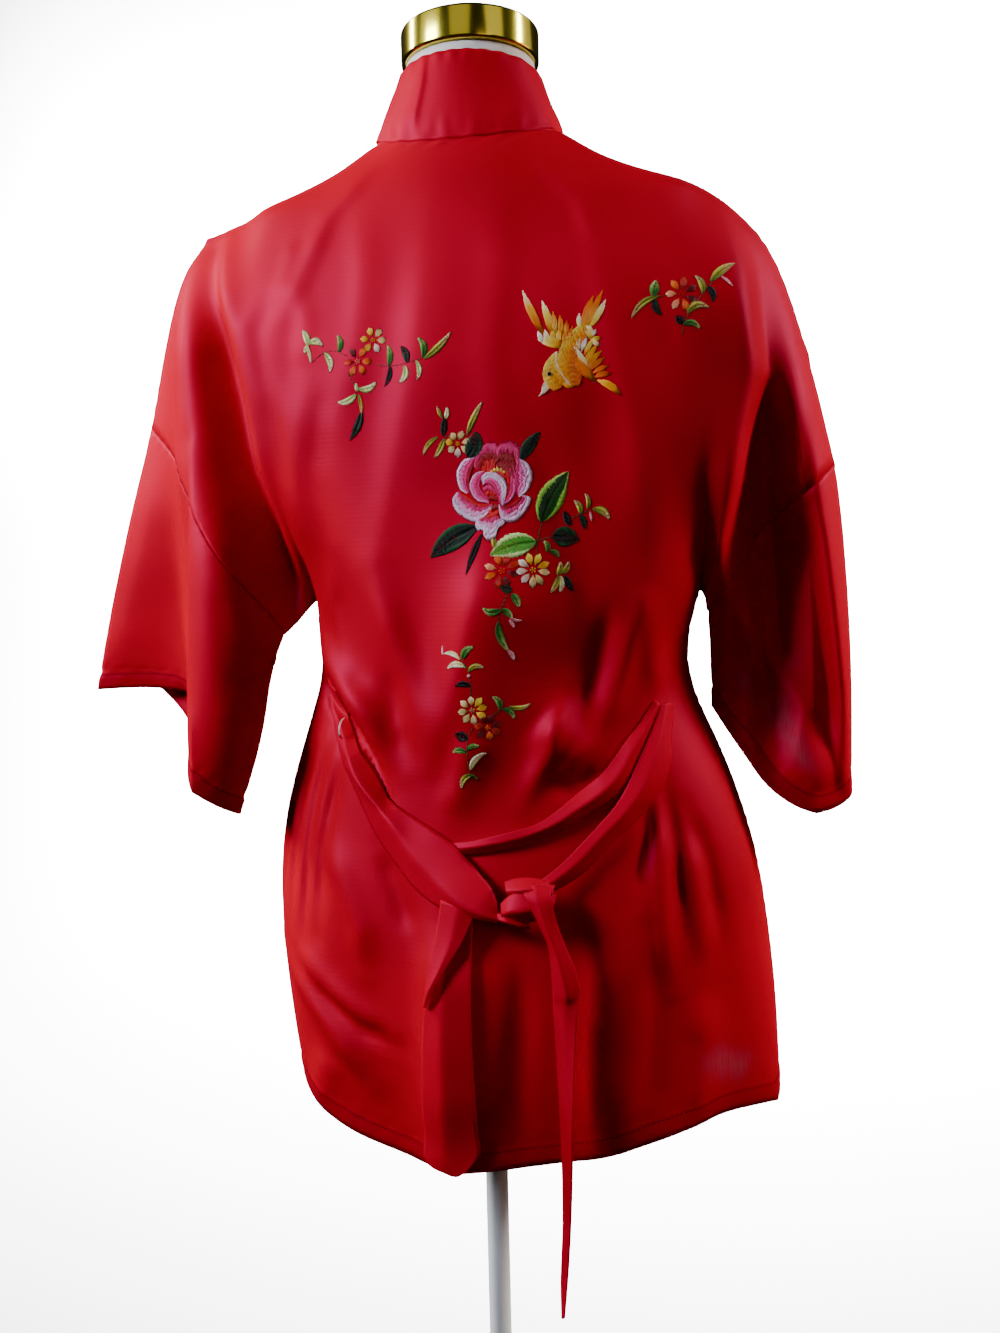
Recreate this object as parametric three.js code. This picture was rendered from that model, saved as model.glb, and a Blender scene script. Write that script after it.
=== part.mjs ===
// A short embroidered silk robe, tied with its own sash, on a limbless dress form with a pole and round base.
// Millimetres, +Z up. The origin is the middle of the base's underside, under the pole. The back faces +Y
// and the wearer's left is +X. Every cloth piece is a thin wall, open at the neck, cuffs, front and hem.
import * as THREE from 'three';

// ---- Driving sizes ----
const WALL = 1.2;                // cloth, laid as a wall
const SASH_WALL = 1.6;           // sash, two layers of cloth
const SEAM_GAP = 0.3;            // between neighbouring pieces
const FOLD_GAP = 0.7;            // between back and front where they meet round a fold
const REST_GAP = 0.6;            // between the cloth and the form that it rests on
const FRONT_LAYER = 6.5;         // from the right front out to the left front that crosses it

const NECK_SIDE = 76;            // neck seam, half width
const NECK_SIDE_Z = 1421;        // neck seam at the side of the neck
const NECK_DROP = 22;            // from there down to the neck seam at the centre back
const COLLAR_TOP_SIDE = 57.5;    // top edge of the standing collar, half width
const COLLAR_TOP_BACK = 65;      // top edge of the standing collar, behind the pole
const COLLAR_TOP_Z = 1468;
const SHOULDER_X = 190;          // where the shoulder line meets the armhole line
const SHOULDER_Z = 1370;
const UNDERARM_Z = 1054;
const FOLD_END_Z = 634;          // where the skirt's folds are deepest
const BAND_WIDTH = 55;           // front bands
const COLLAR_SEAM_LIFT = 1.2;    // the collar stands this far above the neck seam
const SASH_FRONT_Z = 958;        // height of the sash round the front, and how much higher it is at the back
const SASH_FRONT_RISE = 12;
const SASH_FRONT_WIDTH = 34;
const SASH_FRONT_LIFT = 3.6;
const SASH_FRONT_START = 64;     // angle round the body where the front sash begins, and where it ends
const SASH_FRONT_END = 296;

const FORM_BOTTOM_Z = 740;
const NECK_TOP_Z = 1480;
const CAP_RADIUS = 56;
const CAP_HEIGHT = 27;
const CAP_EDGE = 2.5;
const POLE_RADIUS = 10;
const FLANGE_RADIUS = 36;
const FLANGE_HEIGHT = 8;
const BASE_RADIUS = 165;
const BASE_HEIGHT = 10;
const COLLAR_RING_HEIGHT = 28;

const FRONT_EVENNESS = 0.35;     // how far a front's columns are evened out across it
const BACK_FOLD_FADE = 0.7;      // power of the fade at both ends of a fold on the back
const JUST_UNDER = 0.01;         // keeps a level just below the shoulder end

// Above the underarm the cloth's folds soon lean only backwards and forwards
const SIDEWAYS_FADE = 100;

// The left front steps out over the right one between these places
const CROSS_OUTER_X = 136;
const CROSS_INNER_X = 109;
const CROSS_TOP_Z = 1400;
const CROSS_LOW_Z = 1340;

// Grid cells: across half of the back and half of its neck, from the armhole line to the dropped seam,
// down to the underarm, down to the hem, across a front, and along a lower sleeve, then the smaller pieces
const HALF_BACK = 9;
const NECK_CELLS = 4;
const YOKE_CELLS = 4;
const ARM_ROWS = 12;
const SKIRT_ROWS = 11;
const FRONT_CELLS = 10;
const SLEEVE_ALONG = 7;
const ARMHOLE_POINTS = 24;
const COLLAR_STEPS = 16;
const COLLAR_ROWS = 3;
const BAND_CELLS = 3;
const SASH_CELLS = 2;
const SASH_FRONT_STEPS = 22;
const FORM_SEGMENTS = 36;
const SHOULDER_RINGS = 8;
const TURNED_SEGMENTS = 48;

// ---- Tables ----
// The cloth round the body, level by level below the underarm: side edges, the middle of the back and of the
// front, and how far back the side seam lies
const BODY = [
  { z: 600, left: 158, right: -250, back: 172, front: -152, side: 6 },
  { z: 632, left: 160, right: -246, back: 170, front: -150, side: 8 },
  { z: 715, left: 173, right: -243, back: 162, front: -146, side: 8 },
  { z: 790, left: 179, right: -235, back: 154, front: -140, side: 10 },
  { z: 842, left: 177, right: -226, back: 145, front: -134, side: 12 },
  { z: 892, left: 167, right: -211, back: 134, front: -126, side: 14 },
  { z: 945, left: 149, right: -189, back: 126, front: -116, side: 15 },
  { z: 1000, left: 133, right: -168, back: 126, front: -114, side: 20 },
  { z: 1054, left: 131, right: -182, back: 130, front: -120, side: 34 },
];

// The same surface above the underarm: the middle of the back and front, and how square the slice's corners
// are, from 0.5 for a rounded slice to 1 for a flat one that runs on into the sleeves
const CHEST = [
  { z: 1054, back: 130, front: -120, corner: 0.45 },
  { z: 1085, back: 128, front: -123, corner: 0.62 },
  { z: 1150, back: 124, front: -126, corner: 0.9 },
  { z: 1250, back: 116, front: -114, corner: 0.9 },
  { z: 1300, back: 108, front: -100, corner: 0.8 },
  { z: 1340, back: 98, front: -88, corner: 0.62 },
  { z: 1370, back: 88, front: -79, corner: 0.5 },
  { z: 1398, back: 76, front: -70, corner: 0.5 },
  { z: 1422, back: 70, front: -64, corner: 0.5 },
];

// The line over the shoulder, where back and front meet
const SHOULDER_LINE = [
  { x: NECK_SIDE, z: NECK_SIDE_Z },
  { x: 102, z: 1402 },
  { x: 130, z: 1389 },
  { x: 160, z: 1378 },
  { x: SHOULDER_X, z: SHOULDER_Z },
];

// The sewn edge of the left front, from the neck down across the middle to the hem. The right one mirrors it
const FRONT_EDGE = [
  { z: 600, x: -46 },
  { z: 800, x: -45 },
  { z: 950, x: -42 },
  { z: 1054, x: -33 },
  { z: 1130, x: -12 },
  { z: 1200, x: 10 },
  { z: 1270, x: 36 },
  { z: 1330, x: 57 },
  { z: 1380, x: 73 },
  { z: NECK_SIDE_Z, x: NECK_SIDE },
];

// The free edge of the band while it rolls from standing at the neck to lying on the front, by the height of
// the sewn edge beside it
const BAND_ROLL = [
  { z: 1300, freeX: 2, freeY: -98, freeZ: 1318 },
  { z: 1335, freeX: 16, freeY: -91, freeZ: 1372 },
  { z: 1365, freeX: 36, freeY: -77, freeZ: 1414 },
  { z: 1390, freeX: 49, freeY: -58, freeZ: 1443 },
  { z: 1410, freeX: 55, freeY: -32, freeZ: 1460 },
  { z: NECK_SIDE_Z, freeX: COLLAR_TOP_SIDE, freeY: 0, freeZ: COLLAR_TOP_Z },
];
const BAND_FLAT_Z = 1310;        // below here the band lies flat, and above BAND_STAND_Z it follows the roll
const BAND_STAND_Z = 1360;
const SLOPE_STEP = 4;

// Sections across each sleeve, from the armhole line out to the cuff: the fold along the top, a point of the
// back layer on the outer side of its middle, the middle, and the seam underneath. Inner is how far the back
// layer stands out between the middle and that seam. Front is how far the front layer stands forward, and
// frontUp how far its outer part is drawn up
const SLEEVE_COLUMNS = ['foldX', 'foldY', 'foldZ', 'outerX', 'outerY', 'outerZ', 'midX', 'midY', 'midZ',
  'underX', 'underY', 'underZ', 'inner', 'front', 'frontUp'];
const LEFT_SLEEVE = [
  [SHOULDER_X, 0, SHOULDER_Z, 177, 84, 1295, 163, 92, 1218, 131, 34, UNDERARM_Z, 22, 112, 0],
  [233, 0, 1361, 219, 81, 1286, 203, 86, 1214, 135, 52, 1048, 18, 100, 0],
  [255, 2, 1320, 236, 67, 1260, 216, 84, 1203, 138, 68, 1041, 15, 94, 0],
  [273, 3, 1270, 248, 50, 1228, 225, 82, 1186, 143, 80, 1036, 14, 88, 0],
  [291, 2, 1204, 256, 36, 1175, 229, 88, 1146, 150, 90, 1026, 15, 82, 2],
  [318, 0, 1125, 263, 22, 1102, 226, 98, 1070, 158, 88, 1000, 14, 74, 8],
  [342, -5, 1048, 269, 10, 1034, 224, 106, 990, 169, 85, 946, 11, 66, 16],
  [365, -10, 971, 274, -2, 970, 222, 114, 908, 190, 90, 881, 7, 56, 26],
];
const RIGHT_SLEEVE = [
  [-SHOULDER_X, 0, SHOULDER_Z, -189, 82, 1295, -188, 88, 1218, -182, 34, UNDERARM_Z, 20, 112, 0],
  [-231, 0, 1337, -223, 76, 1269, -214, 78, 1200, -184, 42, 1053, 22, 98, 0],
  [-251, 2, 1291, -239, 68, 1237, -226, 62, 1184, -185, 45, 1050, 27, 90, 0],
  [-267, 3, 1238, -250, 61, 1198, -232, 44, 1158, -186, 44, 1046, 30, 84, 0],
  [-288, 4, 1152, -261, 56, 1128, -233, 28, 1104, -187, 38, 1038, 30, 78, 0],
  [-297, 6, 1070, -268, 55, 1048, -238, 20, 1034, -189, 30, 1016, 26, 72, 0],
  [-302, 8, 980, -271, 53, 964, -238, 28, 962, -190, 24, 990, 22, 66, 0],
  [-303, 10, 888, -272, 38, 875, -235, 38, 895, -191, 24, 961, 7, 60, 0],
];
// How far down from the top fold the front layer's two points lie, and their shares of its depth and rise
const FRONT_HIGH = { down: 0.3, depth: 0.86, up: 1 };
const FRONT_LOW = { down: 0.72, depth: 0.65, up: 0 };
const SEAM_SECTION = 4 / 7;      // the dropped seam, as a share of the way along the sections
const UNDER_SHORT = 0.004;       // how far back and front stop short of the seam under the arm, round the arm

// Height of the hem by the angle round the body, from 0 at the middle of the back, with the left side at 90
const HEM = [
  { angle: -180, z: 642 },
  { angle: -120, z: 653 },
  { angle: -90, z: 650 },
  { angle: -75, z: 649 },
  { angle: -60, z: 658 },
  { angle: -50, z: 660 },
  { angle: -34, z: 659 },
  { angle: -22, z: 649 },
  { angle: -8, z: 639 },
  { angle: 12, z: 635 },
  { angle: 26, z: 632 },
  { angle: 36, z: 635 },
  { angle: 46, z: 645 },
  { angle: 60, z: 658 },
  { angle: 75, z: 662 },
  { angle: 90, z: 660 },
  { angle: 120, z: 652 },
  { angle: 180, z: 642 },
];

// Folds that run down the skirt: the angle round the body, half width in degrees, depth at the hem (a trough
// is negative), and where each starts
const SKIRT_FOLDS = [
  { angle: 52, spread: 12, depth: 9, top: 950 },
  { angle: 30, spread: 9, depth: -9, top: 900 },
  { angle: 9, spread: 8, depth: 7, top: 820 },
  { angle: -8, spread: 7, depth: -9, top: 830 },
  { angle: -30, spread: 10, depth: 8, top: 900 },
  { angle: -50, spread: 8, depth: -8, top: 930 },
  { angle: -70, spread: 10, depth: 7, top: 960 },
  { angle: -104, spread: 9, depth: -8, top: 930 },
  { angle: 108, spread: 10, depth: -8, top: 930 },
  { angle: 132, spread: 10, depth: 6, top: 900 },
  { angle: -135, spread: 11, depth: 7, top: 900 },
];

// Folds that hang down the back from the shoulders to the sash: where each starts and ends, its half width
// and its depth
const BACK_FOLDS = [
  { topX: 95, topZ: 1250, lowX: 62, lowZ: 900, spread: 17, depth: 6 },
  { topX: 118, topZ: 1180, lowX: 92, lowZ: 950, spread: 13, depth: -5 },
  { topX: 24, topZ: 1180, lowX: 38, lowZ: 910, spread: 15, depth: -5 },
  { topX: -112, topZ: 1240, lowX: -92, lowZ: 950, spread: 18, depth: -5 },
  { topX: -150, topZ: 1230, lowX: -128, lowZ: 980, spread: 16, depth: 6 },
];

// The sash where it crosses the back: middle line, width, and how far it lies off the robe
const SASH_LEFT = [
  { x: 116, z: 972, width: 30, lift: 3 },
  { x: 86, z: 941, width: 36, lift: 4.5 },
  { x: 57, z: 911, width: 36, lift: 6 },
  { x: 35, z: 883, width: 34, lift: 8 },
  { x: 12, z: 861, width: 33, lift: 9 },
  { x: -9, z: 846, width: 30, lift: 9 },
  { x: -30, z: 835, width: 24, lift: 9 },
  { x: -50, z: 838, width: 18, lift: 9 },
];
const SASH_RIGHT_UPPER = [
  { x: -150, z: 963, width: 18, lift: 3 },
  { x: -127, z: 935, width: 18, lift: 3 },
  { x: -104, z: 912, width: 19, lift: 3 },
  { x: -83, z: 897, width: 22, lift: 3 },
  { x: -60, z: 887, width: 26, lift: 3 },
  { x: -32, z: 878, width: 26, lift: 3 },
  { x: -4, z: 873, width: 24, lift: 3 },
];
const SASH_RIGHT_LOWER = [
  { x: -157, z: 938, width: 16, lift: 3 },
  { x: -138, z: 912, width: 17, lift: 3 },
  { x: -121, z: 890, width: 18, lift: 3 },
  { x: -104, z: 868, width: 18, lift: 4 },
  { x: -84, z: 852, width: 17, lift: 5 },
];
// Its tails, from the knot down: turn is how far the flat of the band is twisted from lying on the skirt
const TAIL_LEFT = [
  { x: -24, z: 842, width: 24, lift: 4.4, turn: 0 },
  { x: -8, z: 812, width: 34, lift: 5, turn: 0 },
  { x: -1, z: 780, width: 37, lift: 6, turn: 0 },
  { x: 2, z: 735, width: 38, lift: 6, turn: 0 },
  { x: 1, z: 690, width: 39, lift: 6, turn: 0 },
  { x: -1, z: 662, width: 38, lift: 6, turn: 0 },
  { x: -4, z: 642, width: 12, lift: 6, turn: 0 },
];
const TAIL_RIGHT = [
  { x: -60, z: 823.5, width: 16, lift: 20.3, turn: 15 },
  { x: -76, z: 808, width: 26, lift: 17, turn: 25 },
  { x: -88, z: 780, width: 28, lift: 16, turn: 40 },
  { x: -89, z: 745, width: 28, lift: 17, turn: 55 },
  { x: -86, z: 700, width: 28, lift: 17, turn: 66 },
  { x: -83, z: 650, width: 28, lift: 17, turn: 70 },
  { x: -80, z: 595, width: 26, lift: 18, turn: 72 },
  { x: -78, z: 560, width: 20, lift: 18, turn: 74 },
  { x: -77, z: 532, width: 6, lift: 18, turn: 75 },
];
const KNOT = { x: -56, z: 845, lift: 23.3, halfWidth: 24, halfDepth: 13, halfHeight: 17 };

// Dress form, ring by ring from the flat underside up: half width, back and front
const FORM = [
  { z: FORM_BOTTOM_Z, half: 146, back: 100, front: -90 },
  { z: 760, half: 153, back: 106, front: -95 },
  { z: 800, half: 157, back: 109, front: -98 },
  { z: 870, half: 150, back: 104, front: -94 },
  { z: 940, half: 132, back: 88, front: -86 },
  { z: 1000, half: 118, back: 76, front: -82 },
  { z: 1050, half: 122, back: 78, front: -92 },
  { z: 1110, half: 132, back: 86, front: -106 },
  { z: 1170, half: 144, back: 91, front: -112 },
  { z: 1230, half: 162, back: 92, front: -100 },
  { z: 1280, half: 182, back: 89, front: -86 },
  { z: 1320, half: 194, back: 82, front: -73 },
  { z: 1345, half: 194, back: 72, front: -62 },
  { z: 1359, half: 184, back: 60, front: -54 },
];
const FORM_NECK = [
  { z: 1440, half: 61, back: 56, front: -54 },
  { z: 1458, half: 54, back: 53.5, front: -53 },
  { z: NECK_TOP_Z, half: 53, back: 53, front: -53 },
];
const NECK_SIDE_EASE = 2;        // how much more room the form has beside the neck than under the rest
const FORM_SHOULDER_BACK = 42;   // half depth of the form under the shoulder line
const FORM_SHOULDER_FRONT = -38;
const FORM_SHOULDER_SPREAD = 0.15; // how much deeper it gets per millimetre out from the neck

// ---- Colours ----
const SILK_RED = 0xa50018;
const SASH_RED = 0xb0021c;
const FORM_WHITE = 0xe6dcd3;
const CAP_GOLD = 0xaf9a3a;
const STAND_WHITE = 0xefece6;
const SILK_ROUGHNESS = 0.45;

const part = new THREE.Group();

// ---- Working out places from the tables ----
const radians = THREE.MathUtils.degToRad;
const mix = THREE.MathUtils.lerp;

// Value of a column at a place between the rows, on a curve that never swings past them
function between(rows, key, place, column) {
  const last = rows.length - 1;
  const rising = rows[last][key] > rows[0][key];
  let i = 0;
  while (i < last - 1 && (rising ? place > rows[i + 1][key] : place < rows[i + 1][key])) i += 1;
  const slope = (k) => (rows[k + 1][column] - rows[k][column]) / (rows[k + 1][key] - rows[k][key]);
  const tangent = (k) => {
    if (k === 0) return slope(0);
    if (k === last) return slope(last - 1);
    const a = slope(k - 1);
    const b = slope(k);
    return a * b <= 0 ? 0 : (2 * a * b) / (a + b);
  };
  const span = rows[i + 1][key] - rows[i][key];
  const t = THREE.MathUtils.clamp((place - rows[i][key]) / span, 0, 1);
  const start = rows[i][column];
  const end = rows[i + 1][column];
  const rise = end - start;
  const curve = t * t * (3 - 2 * t);
  return start + rise * curve
    + span * (tangent(i) * t * (1 - t) * (1 - t) - tangent(i + 1) * t * t * (1 - t));
}

function bump(distance, spread) {
  return Math.exp(-((distance / spread) ** 2));
}

// A sleeve's wall: sections along it, and a closed curve round each section. Round is 0 on the top fold, 1 at
// the seam underneath by way of the back, and -1 there by way of the front
function sleeveSurface(rows) {
  const section = rows.map((row) => Object.fromEntries(SLEEVE_COLUMNS.map((name, k) => [name, row[k]])));
  const stations = [[], [], [], [], [], [], []];
  section.forEach((s) => {
    const fold = new THREE.Vector3(s.foldX, s.foldY, s.foldZ);
    const middle = new THREE.Vector3(s.midX, s.midY, s.midZ);
    const under = new THREE.Vector3(s.underX, s.underY, s.underZ);
    const frontAt = ({ down, depth, up }) => {
      const step = new THREE.Vector3(0, -depth * s.front, up * s.frontUp);
      return fold.clone().lerp(under, down).add(step);
    };
    stations[0].push(fold);
    stations[1].push(new THREE.Vector3(s.outerX, s.outerY, s.outerZ));
    stations[2].push(middle);
    stations[3].push(middle.clone().lerp(under, 0.5).add(new THREE.Vector3(0, s.inner, 0)));
    stations[4].push(under);
    stations[5].push(frontAt(FRONT_LOW));
    stations[6].push(frontAt(FRONT_HIGH));
  });
  const lines = stations.map((points) => new THREE.CatmullRomCurve3(points, false, 'centripetal'));
  return (along, round) => {
    const loop = new THREE.CatmullRomCurve3(lines.map((line) => line.getPoint(along)), true, 'centripetal');
    const stationCount = lines.length;
    const place = round >= 0 ? round * 4 : stationCount + round * 3;
    return loop.getPoint(THREE.MathUtils.euclideanModulo(place / stationCount, 1));
  };
}

const sleeves = { left: sleeveSurface(LEFT_SLEEVE), right: sleeveSurface(RIGHT_SLEEVE) };

// Outward direction of a sleeve's wall, the same on both sides of its seams
const SHARE_STEP = 0.01;
function sleeveOutward(side, along, round) {
  const start = THREE.MathUtils.clamp(along - SHARE_STEP, 0, 1 - 2 * SHARE_STEP);
  const lengthwise = sleeves[side](start + 2 * SHARE_STEP, round).sub(sleeves[side](start, round));
  const ahead = sleeves[side](along, wrapRound(round + SHARE_STEP));
  const crosswise = ahead.sub(sleeves[side](along, wrapRound(round - SHARE_STEP)));
  const out = crosswise.cross(lengthwise);
  return side === 'left' ? out : out.negate();
}

// How far along the sleeve a piece stops short of the dropped seam, as a share of its length
function seamShort(side, round) {
  const before = sleeves[side](SEAM_SECTION - SHARE_STEP, round);
  const length = sleeves[side](SEAM_SECTION + SHARE_STEP, round).distanceTo(before);
  return (FOLD_GAP * SHARE_STEP) / length;
}

function wrapRound(round) {
  if (round > 1) return round - 2;
  if (round < -1) return round + 2;
  return round;
}

const sideOf = (x) => (x >= 0 ? 'left' : 'right');

// The armhole line of each side and face as rows by height
const ARMHOLE = {};
['left', 'right'].forEach((side) => {
  ['back', 'front'].forEach((face) => {
    const rows = [];
    for (let i = 0; i <= ARMHOLE_POINTS; i += 1) {
      const p = sleeves[side](0, ((face === 'back' ? 1 : -1) * i) / ARMHOLE_POINTS);
      rows.push({ z: p.z, x: p.x, y: p.y });
    }
    ARMHOLE[side + face] = rows;
  });
});

// Where a level slice through the body's cloth ends at one side
function sliceEnd(side, face, z) {
  if (z <= UNDERARM_Z) return { x: between(BODY, 'z', z, side), y: between(BODY, 'z', z, 'side') };
  if (z < SHOULDER_Z) {
    const rows = ARMHOLE[side + face];
    return { x: between(rows, 'z', z, 'x'), y: between(rows, 'z', z, 'y') };
  }
  const x = between(SHOULDER_LINE, 'z', z, 'x');
  return { x: side === 'left' ? x : -x, y: 0 };
}

const shoulderZ = (x) => between(SHOULDER_LINE, 'x', Math.abs(x), 'z');

// Height-field of folds, as an outward step
function foldAt(face, x, z, angle) {
  let out = 0;
  SKIRT_FOLDS.forEach((fold) => {
    const turn = THREE.MathUtils.euclideanModulo(angle - fold.angle + 180, 360) - 180;
    const depth = THREE.MathUtils.clamp((fold.top - z) / (fold.top - FOLD_END_Z), 0, 1);
    out += fold.depth * depth * bump(turn, fold.spread);
  });
  if (face === 'back') {
    BACK_FOLDS.forEach((fold) => {
      const t = (fold.topZ - z) / (fold.topZ - fold.lowZ);
      const fade = Math.sin(Math.PI * THREE.MathUtils.clamp(t, 0, 1)) ** BACK_FOLD_FADE;
      out += fold.depth * fade * bump(x - mix(fold.topX, fold.lowX, t), fold.spread);
    });
  }
  return out;
}

// A point of the body's cloth on one face, from its place in front view. Lift moves it outwards
function onBody(face, x, z, lift = 0) {
  const left = sliceEnd('left', face, z);
  const right = sliceEnd('right', face, z);
  const middle = (left.x + right.x) / 2;
  const end = x >= middle ? left : right;
  const share = THREE.MathUtils.clamp((x - middle) / (end.x - middle), 0, 1);
  const level = z <= UNDERARM_Z ? BODY : CHEST;
  const centre = between(level, 'z', z, face);
  const corner = z <= UNDERARM_Z ? CHEST[0].corner : between(CHEST, 'z', z, 'corner');
  const side = x >= middle ? 1 : -1;
  const turn = THREE.MathUtils.radToDeg(Math.asin(share));
  const angle = side * (face === 'back' ? turn : 180 - turn);
  const out = lift + (z < SHOULDER_Z ? foldAt(face, x, z, angle) : 0);
  const facing = face === 'back' ? 1 : -1;
  const y = end.y + (centre - end.y) * (1 - share * share) ** corner;
  const leaning = share * (1 - THREE.MathUtils.smoothstep(z, UNDERARM_Z, UNDERARM_Z + SIDEWAYS_FADE));
  const outward = new THREE.Vector3(side * leaning, facing * (1 - leaning), 0).normalize();
  return new THREE.Vector3(x, y, z).addScaledVector(outward, out);
}

// ---- Making meshes ----
function addMesh(name, geometry, colour, roughness, metalness) {
  const material = new THREE.MeshStandardMaterial({ color: colour, roughness, metalness });
  const mesh = new THREE.Mesh(geometry, material);
  mesh.name = name;
  part.add(mesh);
  return mesh;
}

// A closed wall on a grid of points. skip leaves a cell out, and closed joins the last column to the first
function wallOn(points, options = {}) {
  const { wall = WALL, skip = () => false, closed = false, flip = false, outward = () => null } = options;
  const rows = points.length;
  const columns = points[0].length;
  const cellColumns = closed ? columns : columns - 1;
  const wrap = (j) => (j + columns) % columns;
  const onGrid = (i, j) => i >= 0 && i < rows - 1 && (closed || (j >= 0 && j < cellColumns));
  const used = (i, j) => onGrid(i, j) && !skip(i, wrap(j));
  const meets = (i, j) => used(i, j) || used(i - 1, j) || used(i, j - 1) || used(i - 1, j - 1);
  const at = (i, j) => points[i][wrap(j)];

  const normalAt = (i, j) => {
    const sum = new THREE.Vector3();
    [[0, 0], [-1, 0], [0, -1], [-1, -1]].forEach(([di, dj]) => {
      if (!used(i + di, j + dj)) return;
      const a = at(i + di, j + dj);
      const b = at(i + di, j + dj + 1);
      const c = at(i + di + 1, j + dj);
      const d = at(i + di + 1, j + dj + 1);
      const cross = new THREE.Vector3().subVectors(d, a).cross(new THREE.Vector3().subVectors(b, c));
      sum.add(cross.normalize());
    });
    if (flip) sum.negate();
    return (outward(i, wrap(j), sum) ?? sum).normalize();
  };

  const vertices = [];
  const outer = [];
  const inner = [];
  for (let i = 0; i < rows; i += 1) {
    outer.push([]);
    inner.push([]);
    for (let j = 0; j < columns; j += 1) {
      if (meets(i, j)) {
        const step = normalAt(i, j).multiplyScalar(wall / 2);
        outer[i][j] = vertices.push(at(i, j).clone().add(step)) - 1;
        inner[i][j] = vertices.push(at(i, j).clone().sub(step)) - 1;
      }
    }
  }

  const faces = [];
  const quad = (a, b, c, d) => {
    if (flip) faces.push([a, c, b], [a, d, c]);
    else faces.push([a, b, c], [a, c, d]);
  };
  for (let i = 0; i < rows - 1; i += 1) {
    for (let j = 0; j < cellColumns; j += 1) {
      if (used(i, j)) {
        const k = wrap(j + 1);
        quad(outer[i][j], outer[i + 1][j], outer[i + 1][k], outer[i][k]);
        quad(inner[i][j], inner[i][k], inner[i + 1][k], inner[i + 1][j]);
        if (!used(i - 1, j)) quad(outer[i][k], inner[i][k], inner[i][j], outer[i][j]);
        if (!used(i + 1, j)) quad(outer[i + 1][j], inner[i + 1][j], inner[i + 1][k], outer[i + 1][k]);
        if (!used(i, j - 1)) quad(outer[i][j], inner[i][j], inner[i + 1][j], outer[i + 1][j]);
        if (!used(i, j + 1)) quad(outer[i + 1][k], inner[i + 1][k], inner[i][k], outer[i][k]);
      }
    }
  }
  return { vertices, faces };
}

function asGeometry({ vertices, faces }) {
  const geometry = new THREE.BufferGeometry();
  const positions = vertices.flatMap((v) => v.toArray());
  geometry.setAttribute('position', new THREE.Float32BufferAttribute(positions, 3));
  geometry.setIndex(faces.flat());
  geometry.computeVertexNormals();
  return geometry;
}

function addCloth(name, points, options = {}) {
  const colour = options.colour ?? SILK_RED;
  addMesh(name, asGeometry(wallOn(points, options)), colour, SILK_ROUGHNESS, 0);
}

// ---- Robe body ----
// Rows crowd together near the shoulder, where the cloth turns over it
const armShare = (i) => (i / ARM_ROWS) ** 2;
const skirtShare = (i) => i / SKIRT_ROWS;

// Front view place of the back's grid. across runs from -1 at the right side to 1 at the left
const NECK_SHARE = NECK_CELLS / HALF_BACK;
function backPlace(row, across) {
  const side = sideOf(across);
  const share = Math.abs(across);
  const sign = Math.sign(across) || 1;
  const low = {
    left: sliceEnd('left', 'back', UNDERARM_Z).x,
    right: sliceEnd('right', 'back', UNDERARM_Z).x,
  };
  const middle = (low.left + low.right) / 2;
  const lowX = middle + (low[side] - middle) * Math.sin(share * Math.PI / 2);
  let topX;
  let topZ;
  if (share <= NECK_SHARE) {
    const turn = (share / NECK_SHARE) * Math.PI / 2;
    topX = sign * NECK_SIDE * Math.sin(turn);
    topZ = NECK_SIDE_Z - NECK_DROP * Math.cos(turn);
  } else {
    topX = sign * mix(NECK_SIDE, SHOULDER_X, (share - NECK_SHARE) / (1 - NECK_SHARE));
    topZ = shoulderZ(topX);
  }
  const down = armShare(row);
  const armZ = mix(SHOULDER_Z, UNDERARM_Z, down);
  const armX = sliceEnd(side, 'back', Math.min(armZ, SHOULDER_Z - JUST_UNDER)).x;
  const inward = (sign * SHOULDER_X - armX) / (sign * SHOULDER_X - low[side]);
  return { x: mix(topX, lowX, THREE.MathUtils.clamp(inward, 0, 1)), z: mix(topZ, UNDERARM_Z, down) };
}

const hemAt = (side, turn) => between(HEM, 'angle', (side === 'left' ? 1 : -1) * turn, 'z');

// Cells next to a seam that a back and a front share give both the same outward direction there
const UNDER_CORNER = { left: new THREE.Vector3(0.6, 0, -1), right: new THREE.Vector3(-1, 0, -1) };
function seamOutward(side, face, row, beyond, own) {
  if (row > ARM_ROWS) return beyond === 0 ? new THREE.Vector3(own.x, 0, own.z) : null;
  if (row === ARM_ROWS && beyond === 0) return UNDER_CORNER[side].clone();
  const atFold = row === 0 && beyond >= 0;
  const atUnder = row === ARM_ROWS && beyond > 0;
  if (atFold && beyond === 0) return new THREE.Vector3(own.x, 0, own.z);
  if (atFold || atUnder || beyond === 1) {
    return sleeveOutward(side, beyond * SEAM_SECTION, (face === 'back' ? 1 : -1) * armShare(row));
  }
  return null;
}

// A point of the sleeve's upper part that is cut in one with the back or a front. Under the arm the two stop
// short of each other
function yokePoint(side, face, row, beyond) {
  const round = Math.min(armShare(row), 1 - UNDER_SHORT);
  const signed = (face === 'back' ? 1 : -1) * round;
  return sleeves[side](beyond * (SEAM_SECTION - seamShort(side, signed)), signed);
}

// The back: body columns in the middle, and outside them the columns that run out to the dropped seams
const backColumns = 2 * (HALF_BACK + YOKE_CELLS) + 1;
const backRows = ARM_ROWS + SKIRT_ROWS + 1;
const backStep = (j) => j - HALF_BACK - YOKE_CELLS;
const beyondArmhole = (step) => (Math.abs(step) - HALF_BACK) / YOKE_CELLS;

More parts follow.
